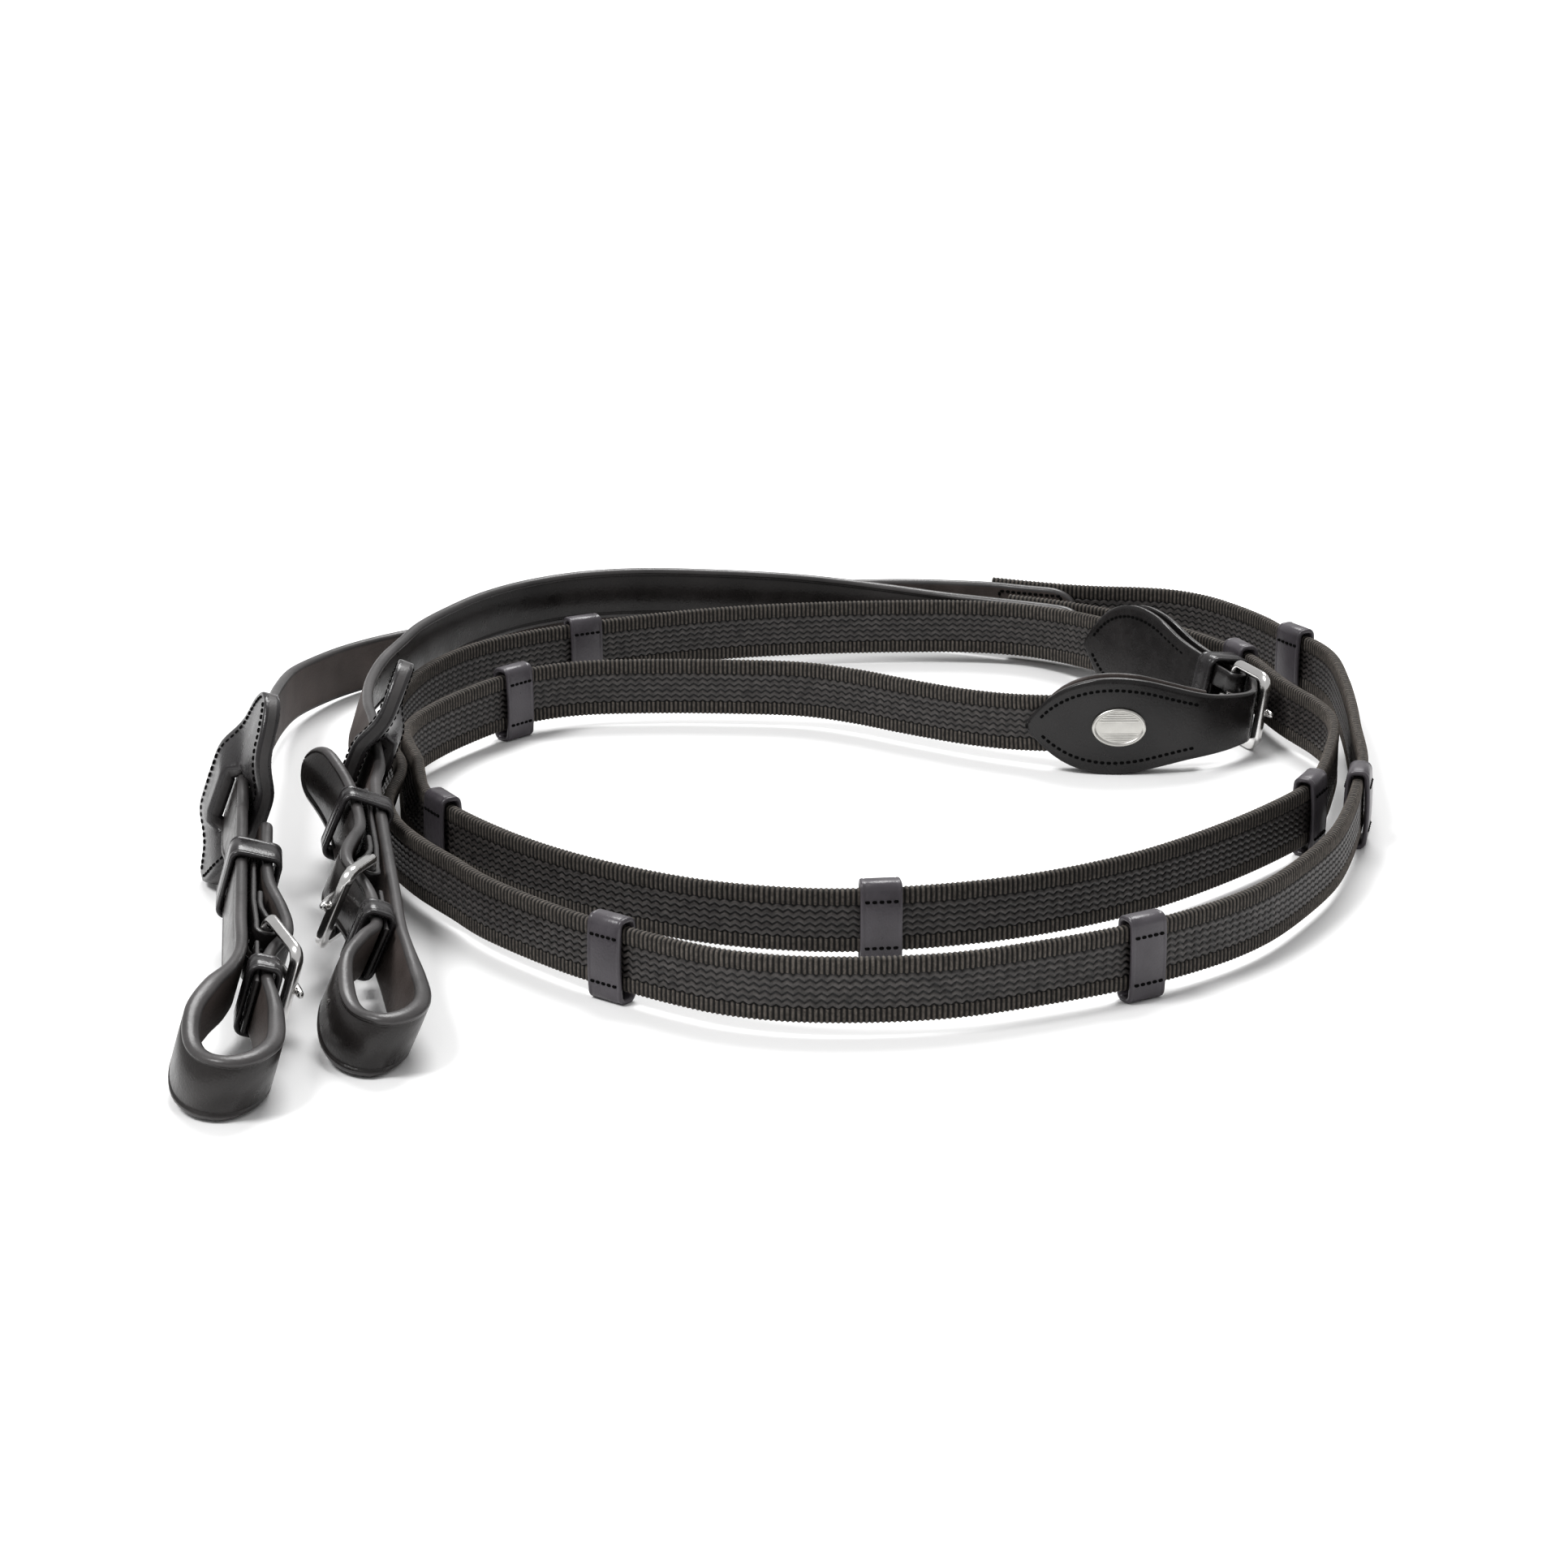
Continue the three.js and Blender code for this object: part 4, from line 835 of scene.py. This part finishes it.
def keeper_ring(low, high, half, corner):
    """The middle line of a keeper whose inner faces stand at low, high and plus and minus half."""
    return rounded_ring((high - low + KEEPER_WALL) / 2, half + KEEPER_WALL / 2, corner, arc=6,
                        straight=5)


def build_keeper(side, name, node, span, low, high, body):
    middle_n, middle_a = (low + high) / 2, sum(span) / 2
    ring, outs = keeper_ring(low, high, STRAP_WIDTH / 2 + 0.35, 1.9)

    def place(along, x, y):
        return BIT_ENDS[side]["end"].at(middle_a + along, middle_n + x, y)

    shape = Shape(band(place, ring, outs, span[1] - span[0], KEEPER_WALL, groove=1.5, depth=0.2))
    shape.piece(name, ["keeper"], node, body)


for rein in (0, 1):
    build_chape(rein)
    build_tab(rein)
    bit_end = BIT_ENDS[rein]
    build_keeper(rein, f"rein_{rein + 1}_lower_loop", f"rein_{rein + 1}_fixed_keeper",
                 bit_end["lower"], 3.0, 8.4, "reins")
    build_keeper(rein, f"rein_{rein + 1}_upper_loop", f"rein_{rein + 1}_sliding_keeper",
                 bit_end["upper"], -1.8, bit_end["keeper_top"], f"sliding_keeper_{rein + 1}")

# ---------------- buckles


def frame_path(place, spacing, half, corner=2.8, arc=7):
    """Wire round a buckle: u from the hinge bar to the front bar, v up the buckle."""
    points = []
    for u, v, su, sv, start in ((0, -half, 1, 1, 180), (spacing, -half, -1, 1, 270),
                                (spacing, half, -1, -1, 0), (0, half, 1, -1, 90)):
        for k in range(arc + 1):
            angle = math.radians(start + 90 * k / arc)
            points.append(place(u + su * corner + corner * math.cos(angle),
                                v + sv * corner + corner * math.sin(angle)))
    dense = []
    for k, a in enumerate(points):
        b = points[(k + 1) % len(points)]
        cuts = 5 if np.linalg.norm(b - a) > 3 else 1
        dense += [a + (b - a) * c / cuts for c in range(cuts)]
    return dense


def tongue_path(place, spacing):
    """An open ring round the hinge bar, then the tongue, which rests on the front bar."""
    ring = BAR_RADIUS + 0.12 + TONGUE_RADIUS
    rest = BAR_RADIUS + TONGUE_RADIUS + 0.05
    turn = 285
    points = [place(ring * math.cos(a), ring * math.sin(a))
              for a in np.radians(np.linspace(90 + turn, 90, 22))]
    points += [place(spacing * k, ring + 0.25 * math.sin(math.pi * k))
               for k in (0.12, 0.25, 0.4, 0.55, 0.7, 0.85)]
    points += [place(spacing + x, rest - fall) for x, fall in ((0, 0), (1.6, 0.15), (2.4, 0.35))]
    radii = [TONGUE_RADIUS] * (len(points) - 2) + [TONGUE_RADIUS * 0.85, TONGUE_RADIUS * 0.55]
    return points, radii


def build_buckle(prefix, on_frame, off_frame, spacing, tongue_body):
    """on_frame(u, v) is a point in the frame's plane, off_frame(u, q) one at q out from it."""
    wire = frame_path(on_frame, spacing, FRAME_HEIGHT / 2 - 1.3)
    shape = Shape(tube(wire, BAR_RADIUS, 24, closed=True, squareness=3.2))
    shape.piece(f"{prefix}_wire", ["nickel"], f"{prefix}_frame", slot="nickel")
    points, radii = tongue_path(off_frame, spacing)
    shape = Shape(tube(points, radii, 16))
    shape.piece(f"{prefix}_pin", ["nickel"], f"{prefix}_tongue", tongue_body, "nickel")


def build_bit_buckle(side):
    bit = BIT_ENDS[side]
    hinge, front = np.array(bit["hinge"], float), np.array(bit["front"], float)
    spacing = float(np.linalg.norm(front - hinge))
    along = (front - hinge) / spacing
    outward = np.array([-along[1], along[0]])
    outward *= np.sign(outward[1])
    end = bit["end"]
    build_buckle(f"rein_{side + 1}_bit_buckle",
                 lambda u, v: end.at(*(hinge + along * u), v),
                 lambda u, q: end.at(*(hinge + along * u + outward * q)),
                 spacing, f"bit_tongue_{side + 1}")


for rein in (0, 1):
    build_bit_buckle(rein)

HINGE = np.array([126.5, 44, 11.4])
FRONT = np.array([133.2, 28.6, 11.4])
BUCKLE_ALONG = unit(FRONT - HINGE)
BUCKLE_OUT = unit(np.cross([0.15, 0.1, 1.0], BUCKLE_ALONG))
BUCKLE_UP = np.cross(BUCKLE_ALONG, BUCKLE_OUT)

build_buckle("centre_buckle",
             lambda u, v: HINGE + BUCKLE_ALONG * u + BUCKLE_UP * v,
             lambda u, q: HINGE + BUCKLE_ALONG * u + BUCKLE_OUT * q,
             float(np.linalg.norm(FRONT - HINGE)), "centre_tongue")

# ---------------- martingale stops


def build_martingale_stop(side):
    """A two-layer leaf. Its slit's two lips part round the strap, and meet at the slit's ends."""
    bit, route = BIT_ENDS[side], STRAPS[side]
    at = route.nearest(LEATHER_ROWS[side][1][:3])
    p, t, n, w = (x[0] for x in route.frame(at))
    rim, lip = 1.1, 0.35
    middle = (PLATE["above"] - PLATE["below"]) / 2
    reach = (PLATE["above"] + PLATE["below"]) / 2
    tall = middle + reach * np.sin(np.linspace(-math.pi / 2, math.pi / 2, 57))
    wide = np.sqrt(np.maximum(0, 1 - np.abs((tall - middle) / reach) ** 2.3)) * PLATE["width"] / 2
    wide = np.maximum(0.6, wide)
    shares = 0.5 - 0.5 * np.cos(np.linspace(0, math.pi, 15))
    right = lip + (wide[None] - lip) * shares[:, None]
    u = np.vstack([-right[::-1], right])
    half = len(shares)
    past = np.maximum(0, np.abs(tall) - PLATE["slit"])
    bow = PLATE["bow"] * smoothstep(11 - past, 0, 11)
    join = 2.4 * np.maximum(0, np.abs(tall) - (PLATE["slit"] - 2.4))
    parted = u / np.sqrt(u ** 2 + join[None] ** 2)
    lift = bit["plate_side"] * bow[None] * parted + math.sin(bit["plate_twist"]) * u
    points = p + t * u[..., None] + n * lift[..., None] + w * tall[None, :, None]
    sides = (points[:half], points[half:])
    grad_u = np.concatenate([np.gradient(part, axis=0) for part in sides])
    normals = unit(np.cross(np.gradient(points, axis=1), grad_u))
    normals *= np.sign(np.einsum("ijk,k->ij", normals, n))[..., None]
    in_slit = np.abs(tall) < PLATE["slit"]
    slit = np.where(in_slit[None], np.abs(u) - lip, np.hypot(u, past[None]) + rim)
    ends = reach - np.abs(tall - middle)
    inset = np.minimum(np.minimum(wide[None] - np.abs(u), ends[None] * 1.6), slit)
    hole = (half - 1, np.flatnonzero(in_slit[:-1] & in_slit[1:]))
    shape = Shape(slab(points, normals, np.maximum(inset, 0), PLATE["thick"], rim, hole))
    for sign in (-1, 1):
        across = sign * (wide - STITCH_INSET)
        line, out = [], []
        for j in np.flatnonzero(wide > STITCH_INSET + 1.2):
            i = int(np.argmin(np.abs(u[:, j] - across[j])))
            line.append(points[i, j] + t * (across[j] - u[i, j]))
            out.append(normals[i, j])
        line, out = np.array(line), np.array(out)
        for face in (-1, 1):
            sew(shape, line + out * face * PLATE["thick"] / 2, out * face, 2)
    shape.piece(f"martingale_stop_{side + 1}", ["keeper", "edge", "thread"],
                f"rein_{side + 1}_martingale_stop", f"martingale_stop_{side + 1}")


for rein in (0, 1):
    build_martingale_stop(rein)

# ---------------- centre leaves
LEAF_KNOTS = [[0, 0.9], [3, 4.2], [7, 8.1], [12, 11.3], [18, 13.2], [24, 13.75], [31, 13],
              [38, 11.3], [45, 9.6], [52, 8.4], [LEAF_LENGTH, 7.5], [LEAF_LENGTH + 8, 7.4]]
LEAF_CURVE = catmull([[*knot, 0] for knot in LEAF_KNOTS], 12, True)


def leaf_half(from_tip):
    return np.interp(from_tip, LEAF_CURVE[:, 0], LEAF_CURVE[:, 1])


def leaf_grid(stations, thick, rounding, hole_rows=None):
    """One layer of a leaf. A station is its point, normal, width direction, half width and
    distance along the layer; the rim is rounded by each grid point's distance from the outline."""
    columns, normals, flat = [], [], []
    for p, n, w, half, along in stations:
        slot = min(SLOT_HALF, half * 0.45)
        edge = half - np.array([0, 0.12, 0.38, 1.0, 2.2]) * rounding * min(1.0, half / 2.5)
        across = np.concatenate([-edge, [-slot, slot], edge[::-1]])
        columns.append(p + across[:, None] * w)
        normals.append(np.repeat(n[None], len(across), 0))
        flat.append(np.column_stack([np.full(len(across), along), across]))
    flat = np.array(flat)
    fine = np.linspace(0, len(stations) - 1, 8 * len(stations))
    along = np.interp(fine, range(len(stations)), [q[4] for q in stations])
    halves = np.interp(fine, range(len(stations)), [q[3] for q in stations])
    ends = [(along[k], y) for k in (0, -1) for y in np.linspace(-halves[k], halves[k], 9)]
    outline = np.vstack([np.column_stack([along, halves]), np.column_stack([along, -halves]), ends])
    inset = np.linalg.norm(flat[:, :, None] - outline[None, None], axis=-1).min(-1)
    hole = None if hole_rows is None else (slice(*hole_rows), 5)
    return slab(np.array(columns), np.array(normals), inset, thick, rounding, hole)


def add_leaf_stitches(shape, route, leaf_at, offset, shrink=1.0):
    """Two rows that meet at the leaf's tip, inside its edge, on the face at offset."""
    d = np.linspace(4.4, 46.0, 60)
    inside = np.maximum(leaf_half(d) - STITCH_INSET, 0.5)
    p, _, n, w = route.frame(leaf_at + d * shrink)
    for sign in (-1, 1):
        line = p + n * offset + w * (sign * inside)[:, None]
        sew(shape, line, n * math.copysign(1, offset), 2)


TIP_LINES = np.array([0, 0.06, 0.2, 0.5, 1.2, 2.2, 3.5, 5, 7, 9.5, 12])


def build_buckle_leaf():
    """One strip: a face of the leaf, the fold round the hinge bar, and the other face."""
    route, at = GRIPS[0], LEAF_AT[0]
    fold = BAR_FOLD + LEAF_SKIN / 2
    flat = LEAF_BED + LEAF_SKIN / 2
    d = np.concatenate([TIP_LINES, np.linspace(14, LEAF_LENGTH, 24)])
    shrink = BUCKLE_LEAF_LENGTH / LEAF_LENGTH
    p, t, n, w = route.frame(at + d * shrink)
    offset = (flat + (fold - flat) * smoothstep(d, 26, 40))[:, None]
    whole = 2 * (LEAF_LENGTH + 8) + math.pi * fold
    front = list(zip(p + n * offset, n, w, leaf_half(d), d))
    back = list(zip(p - n * offset, -n, w, leaf_half(d), whole - d))[::-1]
    turn = []
    for angle in np.linspace(0, math.pi, 16):
        out = n[-1] * math.cos(angle) + t[-1] * math.sin(angle)
        turn.append((HINGE + out * fold, out, w[-1], 7.3, LEAF_LENGTH + 8 + fold * angle))
    slot_rows = (len(front) - 1, len(front) + len(turn))
    shape = Shape(leaf_grid(front + turn + back, LEAF_SKIN, 0.55, slot_rows))
    for face in (1, -1):
        add_leaf_stitches(shape, route, at, face * (LEAF_BED + LEAF_SKIN), shrink)
    shape.piece("buckle_leaf_leather", ["leaf", "edge", "thread"], "buckle_leaf")


def build_billet_leaf():
    """The leaf lies on the webbing, then runs on as the billet, through the buckle."""
    route, at = GRIPS[1], LEAF_AT[1]
    outer = LEAF_BED + LEAF_BILLET / 2
    crossing = route.nearest((131, 40.6, 11.4), at)
    end = route.length
    s = np.concatenate([at + TIP_LINES, np.linspace(at + 14, end - 7, 60),
                        end - TIP_LINES[TIP_LINES < 7][::-1]])
    p, _, n, w = route.frame(s)
    fall = (outer * (1 - smoothstep(s, at + 46, at + 62)))[:, None]
    halves = leaf_half(s - at)
    to_end = np.maximum(end - s, 0)
    halves = np.where(to_end < 7, np.minimum(halves, 1.8 + 5.5 * np.sqrt(to_end / 7)), halves)
    slot_rows = np.flatnonzero((crossing - 3.4 < s) & (s < crossing + 4.4))
    stations = list(zip(p + n * fall, n, w, halves, s))
    shape = Shape(leaf_grid(stations, LEAF_BILLET, 0.7, (slot_rows[0], slot_rows[-1])))
    add_leaf_stitches(shape, route, at, outer + LEAF_BILLET / 2)
    shape.piece("billet_leaf_leather", ["leaf", "edge", "thread"], "billet_leaf")


def build_billet_leaf_lining():
    route, at = GRIPS[1], LEAF_AT[1]
    d = np.concatenate([TIP_LINES, np.linspace(14, 49.5, 14), [49.8, 50.0]])
    p, _, n, w = route.frame(at + d)
    offset = LEAF_BED + LEAF_SKIN / 2
    stations = list(zip(p - n * offset, -n, w, leaf_half(d), d))
    shape = Shape(leaf_grid(stations, LEAF_SKIN, 0.55))
    add_leaf_stitches(shape, route, at, -offset - LEAF_SKIN / 2)
    shape.piece("billet_leaf_back", ["flesh", "edge", "thread"], "billet_leaf_lining",
                slot="leather_lining")


def build_centre_keeper():
    route = GRIPS[0]
    low, high = -7.9, 3.5
    p, t, n, w = (x[0] for x in route.frame(route.length - 2.6))
    ring, outs = keeper_ring(low, high, 8.2, 2.2)

    def place(along, x, y):
        return p + t * along + n * ((low + high) / 2 + x) + w * y

    shape = Shape(band(place, ring, outs, 7.0, KEEPER_WALL, groove=1.3, depth=0.2))
    shape.piece("centre_keeper_band", ["keeper"], "centre_keeper")


def build_badge():
    """A domed oval with a raised rim, ribbed above and below a plain band."""
    route, at = GRIPS[1], LEAF_AT[1] + 25
    p, t, n, w = (x[0] for x in route.frame(at))
    face = LEAF_BED + LEAF_BILLET
    a, b = BADGE_LENGTH / 2, BADGE_HEIGHT / 2
    angles = np.linspace(0, 2 * math.pi, 96, endpoint=False)
    rim = [(0.5, 0.0), (0.1, 0.05), (0, 0.3), (0.1, 0.8), (0.4, 1.02), (0.75, 1.0), (1.0, 0.75),
           (1.1, 0.62)]
    dome = [(d, 0.62 + 0.16 * math.sin(0.5 * math.pi * (d - 1.1) / 4.3))
            for d in np.linspace(1.25, 5.3, 22)]
    rings = []
    for inset, height in rim + dome:
        x, y = (a - inset) * np.cos(angles), (b - inset) * np.sin(angles)
        ribs = 0.11 * np.cos(2 * math.pi * y / 0.62)
        ribs *= smoothstep(np.abs(y), 1.5, 1.8)
        ribs *= smoothstep(inset, 1.1, 1.6)
        rings.append(p + np.outer(x, t) + np.outer(y, w) + np.outer(face + height + ribs, n))
    shape = Shape(loft(np.array(rings)))
    shape.piece("oval_badge", ["badge"], "badge", slot="nickel")


build_buckle_leaf()
build_billet_leaf()
build_billet_leaf_lining()
build_centre_keeper()
build_badge()

# ---------------- floor and light
FLOOR_REACH = 40.0                # in metres
SOFT_LIGHTS = [                   # name, direction, strength, angle in degrees
    ("key", (-0.55, -0.2, 0.95), 1.6, 20),
    ("top", (0.1, 0.7, 1.0), 1.7, 28),
]


def build_stage():
    signs = ((-1, -1), (1, -1), (1, 1), (-1, 1))
    corners = [(x * FLOOR_REACH, y * FLOOR_REACH, 0) for x, y in signs]
    mesh = bpy.data.meshes.new("floor")
    mesh.from_pydata(corners, [], [(0, 1, 2, 3)])
    material, _, shader = new_material("floor")
    shader.inputs["Base Color"].default_value = (0.95, 0.95, 0.95, 1)
    shader.inputs["Roughness"].default_value = 0.6
    shader.inputs["Specular IOR Level"].default_value = 0.2
    mesh.materials.append(material)
    floor = bpy.data.objects.new("floor", mesh)
    bpy.context.scene.collection.objects.link(floor)
    world = bpy.data.worlds.new("studio")
    world.use_nodes = True
    background = world.node_tree.nodes["Background"]
    background.inputs["Color"].default_value = (1, 1, 1, 1)
    background.inputs["Strength"].default_value = 0.5
    bpy.context.scene.world = world
    for name, place, strength, angle in SOFT_LIGHTS:
        data = bpy.data.lights.new(name, "SUN")
        data.energy, data.angle = strength, math.radians(angle)
        lamp = bpy.data.objects.new(name, data)
        lamp.location = place
        lamp.rotation_mode = "QUATERNION"
        lamp.rotation_quaternion = (-Vector(place)).to_track_quat("-Z", "Y")
        bpy.context.scene.collection.objects.link(lamp)
    bpy.context.scene.view_settings.view_transform = "Standard"
    bpy.context.scene.view_settings.look = "Medium High Contrast"


build_stage()
